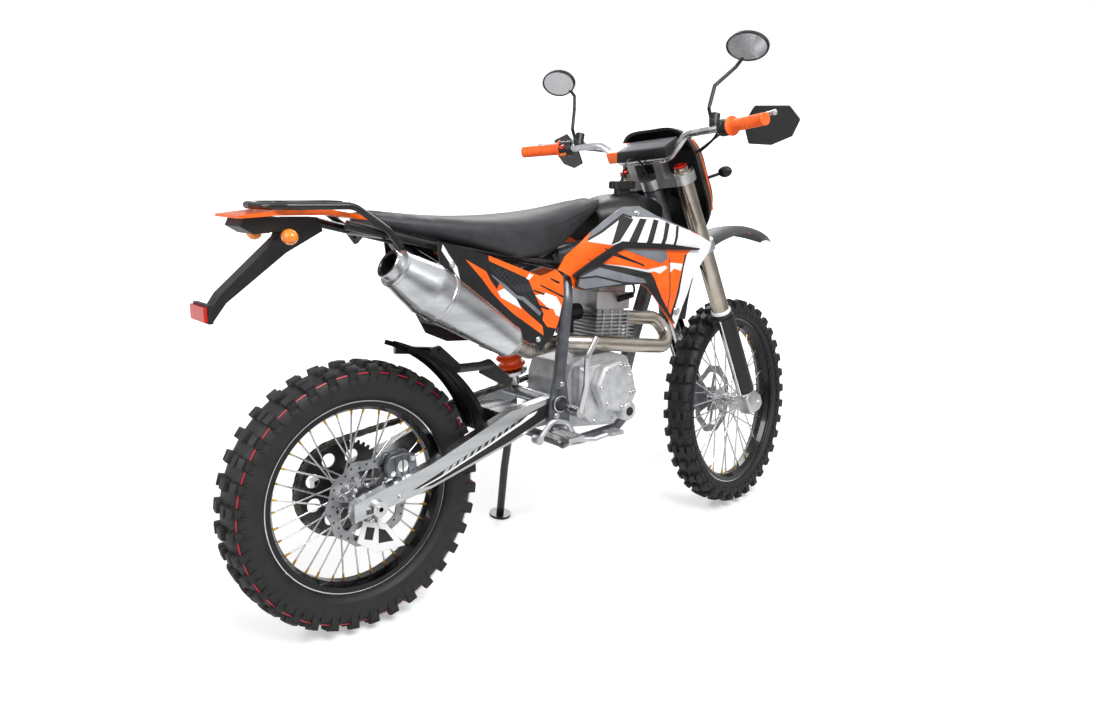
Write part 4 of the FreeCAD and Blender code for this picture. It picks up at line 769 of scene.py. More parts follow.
def inflated(cushion):
    scene = bpy.context.scene
    rest = [vert.co.copy() for vert in cushion.data.vertices]
    cloth = cushion.modifiers.new("cover", "CLOTH")
    cloth.settings.use_pressure = True
    cloth.settings.uniform_pressure_force = seatCover["pressure"]
    cloth.settings.effector_weights.gravity = 0.0
    cloth.point_cache.frame_start = 1
    cloth.point_cache.frame_end = seatCover["frames"]
    for step in range(1, seatCover["frames"] + 1):
        scene.frame_set(step)
    graph = bpy.context.evaluated_depsgraph_get()
    moved = bpy.data.meshes.new_from_object(cushion.evaluated_get(graph))
    cap = seatCover["capMm"] * mm
    for vert, before, after in zip(cushion.data.vertices, rest, moved.vertices):
        step = after.co - before
        vert.co = before + step * min(1.0, cap / max(step.length, 1e-9))
    cushion.modifiers.remove(cloth)
    scene.frame_set(1)


def makeSeat():
    cushion = bpy.data.objects.new("paddedSeat", nodes["seat"].data.copy())
    bpy.context.scene.collection.objects.link(cushion)
    remesh = cushion.modifiers.new("even", "REMESH")
    remesh.mode = "VOXEL"
    remesh.voxel_size = seatCover["voxelMm"] * mm
    graph = bpy.context.evaluated_depsgraph_get()
    cushion.data = bpy.data.meshes.new_from_object(cushion.evaluated_get(graph))
    cushion.modifiers.clear()
    bm = bmesh.new()
    bm.from_mesh(cushion.data)
    for _ in range(seatCover["smoothings"]):
        bmesh.ops.smooth_vert(bm, verts=bm.verts, factor=0.5, use_axis_x=True, use_axis_y=True,
                              use_axis_z=True)
    bm.to_mesh(cushion.data)
    bm.free()
    inflated(cushion)
    cushion.data.materials.clear()
    cushion.data.materials.append(finishes["seatVinyl"])
    cushion.data.shade_smooth()
    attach(cushion, "chassis")
    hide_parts("seat")
    return cushion


def makeSeams(cushion):
    skin = skinOf("chassis", cushion)
    for hand, sideName in flanks:
        points = [landed(skin, along, up, hand)[0] for along, up in seatCover["seam"]]
        makeHose(sideName + "SeatSeam1", [point for point in points if point is not None],
                 seatCover["seamRadius"], "chassis")


makeSeams(makeSeat())
print("seat")

# Bars: ribbed grips, pad, switches, levers and mirrors, drawn in the steered frame.
bars = {"inner": (14, 290, 981), "outer": (-26, 420, 1002), "gripStart": 10.0, "gripRadius": 17.0,
        "grooves": 13, "grooveDeep": 1.5}


def barEnd(hand):
    inner, outer = handed(bars["inner"], hand), handed(bars["outer"], hand)
    return inner, outer, (outer - inner).normalized()


def makeGrips():
    bm = bmesh.new()
    radius, deep = bars["gripRadius"], bars["grooveDeep"]
    for hand in (-1, 1):
        inner, outer, axis = barEnd(hand)
        start = inner + axis * bars["gripStart"]
        length = (outer + axis * 2 - start).length
        pitch = (length - 24) / bars["grooves"]
        profile = [(0, 11.5), (0, 26), (1.5, 27), (4, 27), (5.5, 25), (6.5, 19), (10, radius)]
        for index in range(bars["grooves"]):
            at = 12 + index * pitch
            profile += [(at, radius), (at + pitch * 0.62, radius), (at + pitch * 0.7, radius - deep),
                        (at + pitch * 0.92, radius - deep)]
        profile += [(length - 10, radius), (length - 2, radius), (length, radius - 2), (length, 0)]
        addSpun(bm, profile, aimed(start, start + axis), 32)
    addPiece("ribbedGrips", bm, "steering", ["gripRubber"], ["grips"])


barPad = {"low": (-34, -105, 930), "size": (78, 210, 34), "edgeRound": 5.0, "slant": 0.35, "topHalf": 90,
          "bands": [(74, 130, "orangePlastic"), (56, 74, "blackAbs")]}


def makeBarPad():
    bm = bmesh.new()
    low, size, slant = barPad["low"], barPad["size"], barPad["slant"]
    addBlock(bm, shift(*(low[i] + size[i] / 2 for i in range(3))), size)
    roundEdges(bm, barPad["edgeRound"], 3)
    for start, end, _ in barPad["bands"]:
        for side in (start, end):
            bmesh.ops.bisect_plane(bm, geom=list(bm.verts) + list(bm.edges) + list(bm.faces), dist=0.01,
                                   plane_co=(0, side, low[2]), plane_no=(0, 1, slant))
    for face in bm.faces:
        centre = face.calc_center_median()
        across = centre.y + slant * (centre.z - low[2])
        for number, (start, end, _) in enumerate(barPad["bands"], start=2):
            if start < across < end:
                face.material_index = number
        if face.material_index == 0 and face.normal.z > 0.8 and abs(centre.y) < barPad["topHalf"]:
            face.material_index = 1
    bands = [finish for _, _, finish in barPad["bands"]]
    addPiece("barPadCover", bm, "steering", ["blackAbs", "padGrey"] + bands, ["bar_pad"])


barControls = {
    "block": [(-28, 0), (-28, 21), (-25, 24), (-11, 24), (-10, 22.5), (-8, 22.5), (-7, 24), (6, 24),
              (9, 21), (9, 0)],
    "perch": [(20, 238, 979), (52, 246, 974)], "mirrorBoss": [(24, 238, 983), (50, 238, 1009)],
    "lever": [(52, 246, 974), (74, 268, 972), (66, 330, 978), (52, 410, 990)], "leverRadius": 6.5,
    "leverBall": [(-8, 0), (-6, 6), (0, 8), (6, 6), (8, 0)],
    "stopButton": ((-4, 280, 995), (12, 14, 10)), "signalSwitch": ((-9, 282, 973), (8, 20, 7)),
}


def makeControls():
    bm = bmesh.new()
    for hand in (-1, 1):
        inner, _, axis = barEnd(hand)
        addSpun(bm, barControls["block"], aimed(inner, inner + axis), 20)
        for part, radius in (("perch", 13), ("mirrorBoss", 14)):
            addRod(bm, *(handed(point, hand) for point in barControls[part]), radius, 16)
        lever = [handed(point, hand) for point in barControls["lever"]]
        for start, end in zip(lever, lever[1:]):
            paint(addRod(bm, start, end, barControls["leverRadius"]), 1)
        paint(addSpun(bm, barControls["leverBall"], shift(*lever[-1]), 16), 1)
    # both buttons sit on the left block
    for index, part in enumerate(("stopButton", "signalSwitch"), start=2):
        centre, size = barControls[part]
        paint(addBlock(bm, shift(*centre), size), index)
    addPiece("switchesAndLevers", bm, "steering", ["blackAbs", "brushedAluminium", "redLens", "amberLens"],
             ["bar_controls"])


mirror = {
    "centre": (148, 330, 1154), "tilt": (-0.25, 0.1, 1.0), "halfWide": 62.0, "halfHigh": 44.0,
    "stemRadius": 5,
    "shell": [(-7.5, 0.9), (-11, 0.93), (-11, 0.985), (-8, 1.0), (0, 0.98), (8, 0.82), (12, 0.5), (12.5, 0)],
    "glass": [(-8.5, 0), (-8.5, 0.91)],
    "stem": [(18, 239, 984), (22, 239, 1037), (70, 246, 1082), (140, 284, 1104), (154, 306, 1124)],
    "foot": [(0, 9), (20, 7), (26, 5)], "neck": [(0, 5), (20, 9), (34, 10)],
}


def makeMirrors():
    for hand, sideName in flanks:
        bm = bmesh.new()
        tilt = Vector((0, 0, 1)).rotation_difference(handed(mirror["tilt"], hand)).to_matrix().to_4x4()
        oval = (shift(*handed(mirror["centre"], hand)) @ tilt @ turned("Y", 90)
                @ Matrix.Diagonal((mirror["halfHigh"], mirror["halfWide"], 1.0, 1.0)))
        addSpun(bm, mirror["shell"], oval, 48)
        paint(addSpun(bm, mirror["glass"], oval, 48), 1)
        stem = [handed(point, hand) for point in mirror["stem"]]
        for start, end in zip(stem, stem[1:]):
            addRod(bm, start, end, mirror["stemRadius"], 14)
        addSpun(bm, mirror["foot"], aimed(stem[0], stem[1]), 16)
        addSpun(bm, mirror["neck"], aimed(stem[3] * 0.3 + stem[4] * 0.7, stem[4]), 16)
        addPiece(sideName + "Mirror", bm, "steering", ["blackAbs", "mirrorGlass"],
                 ["mirrors"] if hand < 0 else [])


# The cables end ahead of the stem, behind the mask, so that they clear the tank when the bars turn.
hoses = {
    "tankBreather": ("chassis", 3.0, [(895, 0, 1090), (896, -2, 1140), (925, -4, 1165), (975, -2, 1150),
                                      (1005, 0, 1100)]),
    "clutchCable": ("steering", 3.2, [(40, 236, 962), (96, 200, 930), (112, 120, 890), (92, 62, 850),
                                      (66, 34, 770)]),
    "throttleCable": ("steering", 3.2, [(20, -262, 966), (70, -240, 950), (96, -150, 905), (84, -60, 860),
                                        (66, -34, 770)]),
    "frontBrakeHose": ("steering", 3.6, [(46, -236, 962), (110, -170, 900), (118, -30, 860),
                                         (100, 60, 700), (84, 97, 560), (66, 112, 400), (50, 136, 240),
                                         (0, 100, 130), (-30, 72, 116)]),
}

makeGrips()
makeBarPad()
makeControls()
makeMirrors()
for name, (body, radius, points) in hoses.items():
    makeHose(name, points, radius, body)
print("bars and hoses")

# Fork: rubbing rings, guard edges and red caps on the legs.
forkTrim = {"half": 97.0, "ahead": 27.0, "tube": 27.0, "lipDeg": 168.0, "lipReach": 35.3, "lipLow": 78,
            "lipLong": 284, "lipRadius": 2.2}


def makeForkTrim():
    bm = bmesh.new()
    tube = forkTrim["tube"]
    for hand in (-1, 1):
        leg = shift(forkTrim["ahead"], hand * forkTrim["half"], 0)
        addSpun(bm, [(366, tube - 4), (366, tube + 6), (368, tube + 7), (377, tube + 7), (379, tube + 5),
                     (379, tube - 4)], leg, 40)
        paint(addSpun(bm, [(379, tube), (379, tube + 4), (382, tube + 5), (388, tube + 4), (390, tube)], leg,
                      40), 1)
        # the hexagonal cap on top
        paint(addSpun(bm, [(876, 0), (876.2, 19), (878, 20), (882, 20), (883, 18), (883, 9), (880, 8),
                           (880, 0)],
                      leg, 6), 2)
        # the guard's pale edge line, down its rear lip
        lip = math.radians(hand * forkTrim["lipDeg"])
        foot = leg @ Vector((2 + forkTrim["lipReach"] * math.cos(lip), forkTrim["lipReach"] * math.sin(lip),
                             forkTrim["lipLow"]))
        paint(addRod(bm, foot, foot + Vector((0, 0, forkTrim["lipLong"])), forkTrim["lipRadius"], 10), 1)
    addPiece("forkTrim", bm, "steering", ["blackAbs", "whitePlastic", "redAnodised"])


makeForkTrim()

# Engine: the clutch cover's rounded cases, and bolts landed on what they hold.
clutchCover = {
    "base": [(610, 600), (612, 470), (660, 430), (790, 430), (828, 500), (800, 588), (745, 600)],
    "raised": [(640, 545), (670, 480), (735, 462), (782, 510), (778, 570), (730, 612), (670, 600)],
    "baseSpan": (-148, -112), "raisedSpan": (-185, -147),
    "filterAt": (775, -132, 455), "filter": [(0, 28), (34, 28), (38, 25), (40, 20), (40, 0)],
    "capAt": (775, -172, 455), "cap": [(0, 13), (2.5, 12), (3, 0)],
}


def makeClutchCover():
    bm = bmesh.new()
    outward = Vector((0, -1, 0))
    addRounded(bm, clutchCover["base"], clutchCover["baseSpan"], 7.0)
    addRounded(bm, clutchCover["raised"], clutchCover["raisedSpan"], 12.0, 0, 5)
    filterAt, capAt = Vector(clutchCover["filterAt"]), Vector(clutchCover["capAt"])
    addSpun(bm, clutchCover["filter"], aimed(filterAt, filterAt + outward), 40)
    paint(addSpun(bm, clutchCover["cap"], aimed(capAt, capAt + outward), 32), 1)
    addPiece("clutchCase", bm, "chassis", ["silverCase", "blackAbs"], ["clutch_cover"], 40)


def addBolt(bm, spot, hand, radius):
    high = radius * 0.9
    profile = [(-0.5, radius * 1.6), (0.9, radius * 1.6), (1.0, radius), (high, radius),
               (high + 0.4, radius * 0.8), (high + 0.4, radius * 0.5), (high * 0.4, radius * 0.45),
               (high * 0.4, 0)]
    addSpun(bm, profile, aimed(spot, Vector(spot) + Vector((0, hand, 0))), 14)


def landBolts(bm, skin, spots, radius, hand):
    for along, up in spots:
        hit, normal = landed(skin, along, up, hand)
        if hit is not None and normal.y * hand > 0.5:
            addBolt(bm, hit, hand, radius)


# Bolt places as (ahead, up), seen from the side that they are on.
boltSpots = {
    "clutch": [(622, 588), (621, 482), (664, 441), (728, 438), (815, 502), (792, 578), (744, 591),
               (655, 542), (678, 494), (734, 477), (767, 513), (764, 563), (728, 596), (676, 586)],
    "case": [(620, 560), (700, 600), (780, 590), (810, 500), (760, 440), (680, 440)],
    "rails": [(556, 560), (548, 470), (560, 400), (590, 388), (900, 560), (930, 620), (60, 350),
              (-20, 330), (60, 322)],
    "shroud": [(823, 1006), (951, 727)], "panel": [(215, 900), (478, 690)], "pivot": (556, 503),
    "discReach": (42, 46, 50, 54), "discCount": 6,
}


def makeBolts():
    bm = bmesh.new()
    pivots = bmesh.new()
    landBolts(bm, skinOf("chassis", nodes["clutch_cover"]), boltSpots["clutch"], 4.6, -1)
    landBolts(bm, skinOf("chassis", nodes["engine_crankcase"]), boltSpots["case"], 4.6, 1)
    rails = skinOf("chassis", nodes["main_frame"], nodes["swingarm"])
    for hand in (-1, 1):
        landBolts(bm, rails, boltSpots["rails"], 5.5, hand)
        for along, up in boltSpots["shroud"]:
            addBolt(bm, (along, hand * shroudFlank(along, up), up), hand, 7.5)
        for along, up in boltSpots["panel"]:
            addBolt(bm, (along, hand * sidePanel["outer"], up), hand, 5.0)
        hit = landed(rails, *boltSpots["pivot"], hand)[0]
        place = aimed(hit, hit + Vector((0, hand, 0)))
        addSpun(pivots, [(0, 20), (6, 20), (9, 17), (9, 0)], place, 36)
        paint(addSpun(pivots, [(0, 23), (3, 23), (4, 21), (4, 19)], place, 36), 1)
    addPiece("frameBolts", bm, "chassis", ["stainless"])
    addPiece("pivotCaps", pivots, "chassis", ["blackAbs", "stainless"])


# Each disc's bolts land at the first reach where its hub is solid.
def makeDiscBolts(which, hand):
    body = tyreSizes[which]["body"]
    skin = skinOf(body, nodes[which + "_brake_disc"])
    bm = bmesh.new()
    for index in range(boltSpots["discCount"]):
        angle = math.tau * (index + 0.5) / boltSpots["discCount"]
        for reach in boltSpots["discReach"]:
            spot = wheelPoint(reach, 0, angle)
            if landed(skin, spot.x, spot.z, hand)[0] is not None:
                landBolts(bm, skin, [(spot.x, spot.z)], 5.0, hand)
                break
    if bm.verts:
        addPiece(which + "DiscBolts", bm, body, ["stainless"])


makeClutchCover()
makeBolts()
print("engine and bolts")

# Brake discs: a waved ring on slanted arms, its drilled holes drawn as dark discs of painted shade.
discShape = {
    "waves": 10, "waveDeep": 6.0, "band": 27.0, "thick": 4.0, "hubRadius": 42.0, "bore": 23.5, "arms": 6,
    "armSize": (3.2, 15), "armSlantDeg": 14, "holeShadeRadius": 3.0, "holeShadeProud": 0.12,
    "rear": {"radius": 110.0, "line": -68.0}, "front": {"radius": 120.0, "line": 60.0},
}


# A flat ring whose outer and inner radius may change with the angle.
def addRing(bm, outer, inner, low, high, count):
    angles = [math.tau * index / count for index in range(count)]
    rows = [[bm.verts.new(wheelPoint(radiusAt(angle), side, angle)) for angle in angles]
            for radiusAt, side in ((outer, high), (inner, high), (inner, low), (outer, low))]
    addStrips(bm, [row + row[:1] for row in rows + rows[:1]])


def makeDisc(which):
    sizes = discShape[which]
    low, high = (sizes["line"] + half * discShape["thick"] / 2 for half in (-1, 1))
    deep, waves, hub = discShape["waveDeep"], discShape["waves"], discShape["hubRadius"]
    rim = sizes["radius"] - deep / 2
    bed = sizes["radius"] - discShape["band"]
    reach = bed - hub + 12
    bm = bmesh.new()
    addRing(bm, lambda angle: rim + deep / 2 * math.cos(waves * angle),
            lambda angle: bed + deep / 3 * math.cos(waves * angle), low, high, 120)
    addRing(bm, lambda angle: hub, lambda angle: discShape["bore"], low + 0.5, high - 0.5, 48)
    for index in range(discShape["arms"]):
        place = (turned("Y", 360 * index / discShape["arms"]) @ shift(0, sizes["line"], 0)
                 @ turned("Y", discShape["armSlantDeg"]) @ shift(hub - 6 + reach / 2, 0, 8))
        addBlock(bm, place, (reach, *discShape["armSize"]), 0.7)
    # the drilled holes are not cut: each is a dark disc, painted shade, set a hair proud of the face
    proud = Vector((0, discShape["holeShadeProud"], 0))
    for index in range(waves * 3):
        radius = sizes["radius"] - discShape["band"] * (0.35 + 0.16 * (index % 3))
        spot = wheelPoint(radius, low if sizes["line"] < 0 else high, math.tau * (index + 0.5) / (waves * 3))
        paint(addRod(bm, spot - proud, spot + proud, discShape["holeShadeRadius"]), 1)
    addPiece(which + "WaveDisc", bm, tyreSizes[which]["body"], ["discSteel", "blackSteel"],
             [which + "_brake_disc"])


# A painted highlight: a bright stainless ring round each rim's flange, standing for the glint of light along
# its edge.
rimHighlightRing = {"rear": 31.2, "front": 24.2, "halfThick": 0.25, "under": (0.5, 3.0)}


def makeRimHighlightRing(which):
    sizes = tyreSizes[which]
    bm = bmesh.new()
    outer, inner = (sizes["rim"] - under for under in rimHighlightRing["under"])
    for side in (-rimHighlightRing[which], rimHighlightRing[which]):
        addRing(bm, lambda angle: outer, lambda angle: inner, side - rimHighlightRing["halfThick"],
                side + rimHighlightRing["halfThick"], 120)
    # the ring is a painted highlight, bright metal where the flange catches the light
    addPiece(which + "RimHighlightRing", bm, sizes["body"], ["stainless"])


for which, hand in (("rear", -1), ("front", 1)):
    makeDiscBolts(which, hand)
    makeDisc(which)
    makeRimHighlightRing(which)
print("discs and rims")

# Swingarm: a dark sticker with slanted bars and a white band on each arm.
armSticker = {
    "face": [(-62, 120), (150, 120), (400, 113), (576, 112)],
    "middle": [(-62, 336), (150, 384), (400, 462), (576, 503)],
    "half": [(-62, 22), (150, 30), (400, 43), (576, 23)], "rise": 0.4,
    "bars": 11, "firstBar": 190, "barPitch": 23, "barTop": [(180, -0.12), (330, 0.06), (470, 0.42)],
    "edge": [(545, 0.6), (545, -0.7), (400, -0.84), (150, -0.8), (96, -0.4), (180, -0.12), (330, 0.06),
             (470, 0.42)],
    "band": [(455, 0.3), (430, 0.05), (330, -0.2), (180, -0.42), (110, -0.52), (112, -0.62), (180, -0.56),
             (330, -0.34), (440, -0.12), (478, 0.05), (490, 0.3)],
}


def armPoint(x, share):
    return (x, steps(x, armSticker["middle"]) + share * steps(x, armSticker["half"]))


def makeArmStickers():
    outline = [armPoint(*point) for point in armSticker["edge"]]
    stripes = [("whitePlastic", [armPoint(*point) for point in armSticker["band"]])]
    for index in range(armSticker["bars"]):
        x, wide = armSticker["firstBar"] + index * armSticker["barPitch"], 15 - index
        top = steps(x, armSticker["barTop"])
        stripes.append(("brushedAluminium", [armPoint(x, top), armPoint(x + wide, top),
                                             armPoint(x + wide - 9, top - 0.3), armPoint(x - 9, top - 0.3)]))
    addSheets("ArmSticker", outline, stripes, "blackAbs",
              lambda x, z: steps(x, armSticker["face"]) + armSticker["rise"], armSticker["rise"],
              step=60.0)


makeArmStickers()

# Shock absorber: a sprung damper with its collars.
shock = {"low": (500, 0, 545), "high": (430, 0, 850), "coil": 39.0, "gap": 29.0, "rod": 20, "turns": 8,
         "first": 48.0, "pitch": 23.0, "collars": [(0, 36, 14), (34, 46, 40), (232, 244, 40)], "topEye": 18}


def makeShock():
    low, high = Vector(shock["low"]), Vector(shock["high"])
    length, place = (high - low).length, aimed(low, high)
    bm = bmesh.new()
    spring = [(shock["first"], shock["rod"])]
    for index in range(shock["turns"]):
        at = shock["first"] + index * shock["pitch"]
        spring += [(at + 2, shock["gap"]), (at + 5, shock["coil"] - 3), (at + 9, shock["coil"]),
                   (at + 13, shock["coil"] - 3), (at + 16, shock["gap"])]
    spring.append((shock["first"] + shock["turns"] * shock["pitch"], shock["rod"]))
    addSpun(bm, spring, place, 36)
    top = length - shock["topEye"]
    for start, end, radius in shock["collars"] + [(244, top, 24), (top - 2, length, 14)]:
        paint(addSpun(bm, [(start, 0), (start, radius - 2), (start + 2, radius), (end - 2, radius),
                           (end, radius - 2), (end, 0)], place, 32), 1)
    addPiece("springAndDamper", bm, "chassis", ["orangePaint", "stainless"], ["rear_shock"])


makeShock()

# Mud flap ahead of the rear tyre, with its rolled lips.
flap = {"radius": 389.0, "thick": 2.4, "half": 58.0, "fromDeg": 14.0, "toDeg": 70.0, "parts": 14, "lip": 12.0,
        "ribRise": 3}


def makeFlap():
    bm = bmesh.new()
    centre = Vector((0, 0, bike["rearTyreRadius"]))
    half, lip, rib = flap["half"], flap["lip"], flap["ribRise"]
    across = [(-half, -lip), (-half, 0), (8 - half, 0), (-20, 0), (-18, rib), (18, rib), (20, 0),
              (half - 8, 0), (half, 0), (half, -lip)]
    rows = []
    for index in range(flap["parts"] + 1):
        angle = math.radians(flap["fromDeg"] + (flap["toDeg"] - flap["fromDeg"]) * index / flap["parts"])
        rows.append([bm.verts.new(centre + wheelPoint(flap["radius"] + lift, side, angle))
                     for side, lift in across])
    addStrips(bm, rows)
    bmesh.ops.solidify(bm, geom=bm.faces[:], thickness=flap["thick"])
    addPiece("mudFlap", bm, "chassis", ["blackAbs"], ["inner_fender"])


makeFlap()

# Fork feet, sliders and front guards stand in for the plain legs.
forkLegs = {
    "slider": 22.0, "low": 30.0, "tubeLow": 379.0, "guardLow": 76.0, "guardHigh": 364.0, "guardInner": 31.5,
    "guardOuter": 35.0, "guardAhead": 2, "halfTurnDeg": 108.0, "outwardDeg": 62.0, "axle": 10.0, "axleAt": 66,
    "footHalf": 22, "foot": [(3, 60), (5, -8), (58, -26), (86, -20), (90, 14), (53, 70)],
}


def makeForkLegs():
    bm = bmesh.new()
    ahead, guardAt = forkTrim["ahead"], forkTrim["ahead"] + forkLegs["guardAhead"]
    halfTurn = math.radians(forkLegs["halfTurnDeg"])
    inner, outer = forkLegs["guardInner"], forkLegs["guardOuter"]
    low, high = forkLegs["guardLow"], forkLegs["guardHigh"]
    for hand in (-1, 1):
        middle = hand * forkTrim["half"]
        footSpan = (middle - forkLegs["footHalf"], middle + forkLegs["footHalf"])
        addRounded(bm, forkLegs["foot"], footSpan, 6.0, 1)
        paint(addRod(bm, (ahead, middle, forkLegs["low"]), (ahead, middle, forkLegs["tubeLow"]),
                     forkLegs["slider"], 40), 2)
        start = math.radians(hand * forkLegs["outwardDeg"]) - halfTurn
        ring = [bm.verts.new((guardAt + radius * math.cos(start), middle + radius * math.sin(start), up))
                for radius, up in ((inner, low), (outer, low), (outer, high), (inner, high))]
        edges = [bm.edges.new(pair) for pair in zip(ring, ring[1:] + ring[:1])]
        bm.faces.new(ring)
        end = bmesh.ops.spin(bm, geom=ring + edges, cent=(guardAt, middle, 0), axis=(0, 0, 1),
                             angle=2 * halfTurn, steps=28)["geom_last"]
        bm.faces.new([item for item in end if isinstance(item, bmesh.types.BMVert)])
    reach, along = forkTrim["half"] + 26, forkLegs["axleAt"]
    paint(addRod(bm, (along, -reach, 0), (along, reach, 0), forkLegs["axle"], 28), 2)
    addPiece("forkLegsAndGuards", bm, "steering", ["blackAbs", "castAluminium", "stainless"],
             ["fork_legs"])


makeForkLegs()

# Cylinder: rib bars across the fins, and the plug with its lead.
cylinder = {"place": (790, -10, 622), "tiltDeg": 5.0, "ribSide": 72.0, "ribs": (-48, -16, 16, 48),
            "ribSize": (5, 8, 100), "ribUp": 60, "plug": [(20, -58, 140), (30, -104, 158)], "plugRadius": 9,
            "lead": [(30, -104, 158), (34, -122, 172)], "leadEnd": [(840, -96, 830), (850, -40, 860)]}


def makeCylinderTrim():
    bm = bmesh.new()
    place = shift(*cylinder["place"]) @ turned("Y", cylinder["tiltDeg"])
    for side in (-cylinder["ribSide"], cylinder["ribSide"]):
        for along in cylinder["ribs"]:
            addBlock(bm, place @ shift(along, side, cylinder["ribUp"]), cylinder["ribSize"])
    paint(addRod(bm, *(place @ Vector(point) for point in cylinder["plug"]), cylinder["plugRadius"], 16), 1)
    addPiece("cylinderTrim", bm, "chassis", ["castAluminium", "blackAbs"])
    lead = [place @ Vector(point) for point in cylinder["lead"]]
    makeHose("plugLead", lead + cylinder["leadEnd"], 3.5, "chassis")


# An orange line runs down each flank of the mask.
maskLine = {"path": [(96, 930), (108, 880), (112, 820), (110, 760), (100, 700)], "radius": 4.0}


def makeMaskLines():
    skin = skinOf("steering", nodes["headlight_mask"])
    for hand, sideName in flanks:
        hits = [landed(skin, ahead, up, hand)[0] for ahead, up in maskLine["path"]]
        points = [hit + Vector((0, hand, 0)) for hit in hits if hit is not None]
        makeHose(sideName + "MaskLine", points, maskLine["radius"], "steering", "orangePlastic")


makeCylinderTrim()
makeMaskLines()
print("arms, shock, flap and fork")

# Rear caliper: two rounded halves astride the disc, tied by a bridge and pins, and the disc fin with its
# slots drawn as black patches of painted shade.
caliper = {
    "half": [(44, 392), (40, 420), (52, 446), (92, 451), (122, 440), (126, 408), (112, 389), (70, 392)],
    "outer": (-94, -74), "inner": (-62, -48), "bridge": [(60, 436), (62, 450), (108, 450), (110, 436)],
    "bridgeSpan": (-76, -60), "pins": [(56, 404), (112, 432)], "pinRadius": 6.5, "pinSpan": (-97, -72),
    "piston": [(84, -96, 418), (84, -92, 418)], "pistonRadius": 15, "ribs": (66, 84, 102),
    "ribAt": (-95, 419), "ribSize": (4, 3, 46), "arm": [(60, -96, 357), (80, -86, 399)], "armRadius": 10,
    "fin": [(-20, 297), (40, 277), (90, 207), (10, 209), (-40, 247)], "finSide": (-84, -79),
    "slotShades": [[(-14, 282), (8, 274), (0, 244), (-22, 252)], [(18, 270), (36, 262), (58, 228), (16, 232)]],
    "slotShadeSide": (-84.3, -83.0), "finStay": [(20, -84, 277), (20, -94, 323)], "stayRadius": 6,
}


def makeCaliper():
    bm = bmesh.new()
    addRounded(bm, caliper["half"], caliper["outer"], 5.0)
    addRounded(bm, caliper["half"], caliper["inner"], 4.0)
    addRounded(bm, caliper["bridge"], caliper["bridgeSpan"], 2.0)
    for along, up in caliper["pins"]:
        ends = [(along, side, up) for side in caliper["pinSpan"]]
        paint(addRod(bm, *ends, caliper["pinRadius"], 16), 1)
    paint(addRod(bm, *caliper["piston"], caliper["pistonRadius"], 28), 1)
    for along in caliper["ribs"]:
        addBlock(bm, shift(along, *caliper["ribAt"]), caliper["ribSize"])
    addRod(bm, *caliper["arm"], caliper["armRadius"], 16)
    addPiece("slidingCaliper", bm, "chassis", ["caliperGrey", "stainless"], ["rear_caliper"])
    fin = bmesh.new()
    addRounded(fin, caliper["fin"], caliper["finSide"], 1.6)
    # each slot is not cut but painted shade: a thin black patch on the fin's outer face
    for slot in caliper["slotShades"]:
        addRounded(fin, slot, caliper["slotShadeSide"], 0.1, 1)
    addRod(fin, *caliper["finStay"], caliper["stayRadius"], 16)
    addPiece("discFin", fin, "chassis", ["whitePlastic", "blackAbs"], ["disc_guard"])


makeCaliper()

# Front fender: a smooth crowned blade with a flash on each side of its tip; a station is ahead, up, half
# its width and slope in degrees.
frontFender = {
    "stations": [(-118, 440, 48, -60), (-60, 525, 60, -48), (20, 578, 66, -15), (120, 590, 72, 0),
                 (260, 560, 76, 14), (400, 500, 70, 24), (510, 425, 52, 34), (583, 349, 22, 44)],
    "drop": 26.0, "fullDropHalf": 66, "thick": 3.0, "parts": 6, "across": 12, "flashAhead": (430, 520),
    "flashSide": (14, 44),
}


def eased(before, start, end, after, share):
    return tuple(0.5 * (2 * b + (c - a) * share + (2 * a - 5 * b + 4 * c - d) * share ** 2
                        + (3 * b - a - 3 * c + d) * share ** 3)
                 for a, b, c, d in zip(before, start, end, after))


def makeFrontFender():
    stations, parts = frontFender["stations"], frontFender["parts"]
    padded = [stations[0]] + stations + [stations[-1]]
    rows = []
    bm = bmesh.new()
    for index in range(len(stations) - 1):
        for part in range(parts + (index == len(stations) - 2)):
            ahead, up, half, slope = eased(*padded[index:index + 4], part / parts)
            tilt = math.radians(slope)
            fall = frontFender["drop"] * min(1.0, half / frontFender["fullDropHalf"])
            row = []
            for step in range(frontFender["across"] + 1):
                share = 2 * step / frontFender["across"] - 1
                drop = fall * abs(share) ** 2.2 + 0.6
                row.append(bm.verts.new((ahead - math.sin(tilt) * drop, half * share,
                                         up - math.cos(tilt) * drop)))
            rows.append(row)
    addStrips(bm, rows)
    near, far = frontFender["flashAhead"]
    inner, outer = frontFender["flashSide"]
    for face in bm.faces:
        centre = face.calc_center_median()
        share = (centre.x - near) / (far - near)
        if 0 < share < 1 and inner < abs(centre.y) < outer * (1 - share * 0.4):
            face.material_index = 1
    faceToward(bm, 2, 1)
    bmesh.ops.solidify(bm, geom=bm.faces[:], thickness=frontFender["thick"])
    addPiece("frontMudguard", bm, "steering", ["blackAbs", "orangePlastic"],
             ["front_fender"])


makeFrontFender()
print("caliper and fender")

# Studio: a pale floor, a white surround and soft lamps.
studio = {
    "floorHalf": 30.0, "surroundLight": 0.5, "horizonLight": 0.22, "glowFrom": 1.6, "glowTo": 4.5,
    "nearGlow": 0.34,
    "lamps": {"keyLamp": ((-0.6, -2.2, 3.6), (0.1, 0, 0.6), 130.0, (2.6, 1.6)),
              "fillLamp": ((-3.4, 0.4, 2.0), (0, 0, 0.6), 45.0, (1.6, 2.2)),
              "rimLamp": ((2.2, 2.6, 2.6), (0.2, 0, 0.7), 60.0, (2.0, 1.6))},
}


def mapped(tree, value, fromMin, fromMax, toMin, toMax=1.0):
    ranges = {"From Min": fromMin, "From Max": fromMax, "To Min": toMin, "To Max": toMax}
    return addNode(tree, "ShaderNodeMapRange", ranges, {"Value": value}).outputs["Result"]


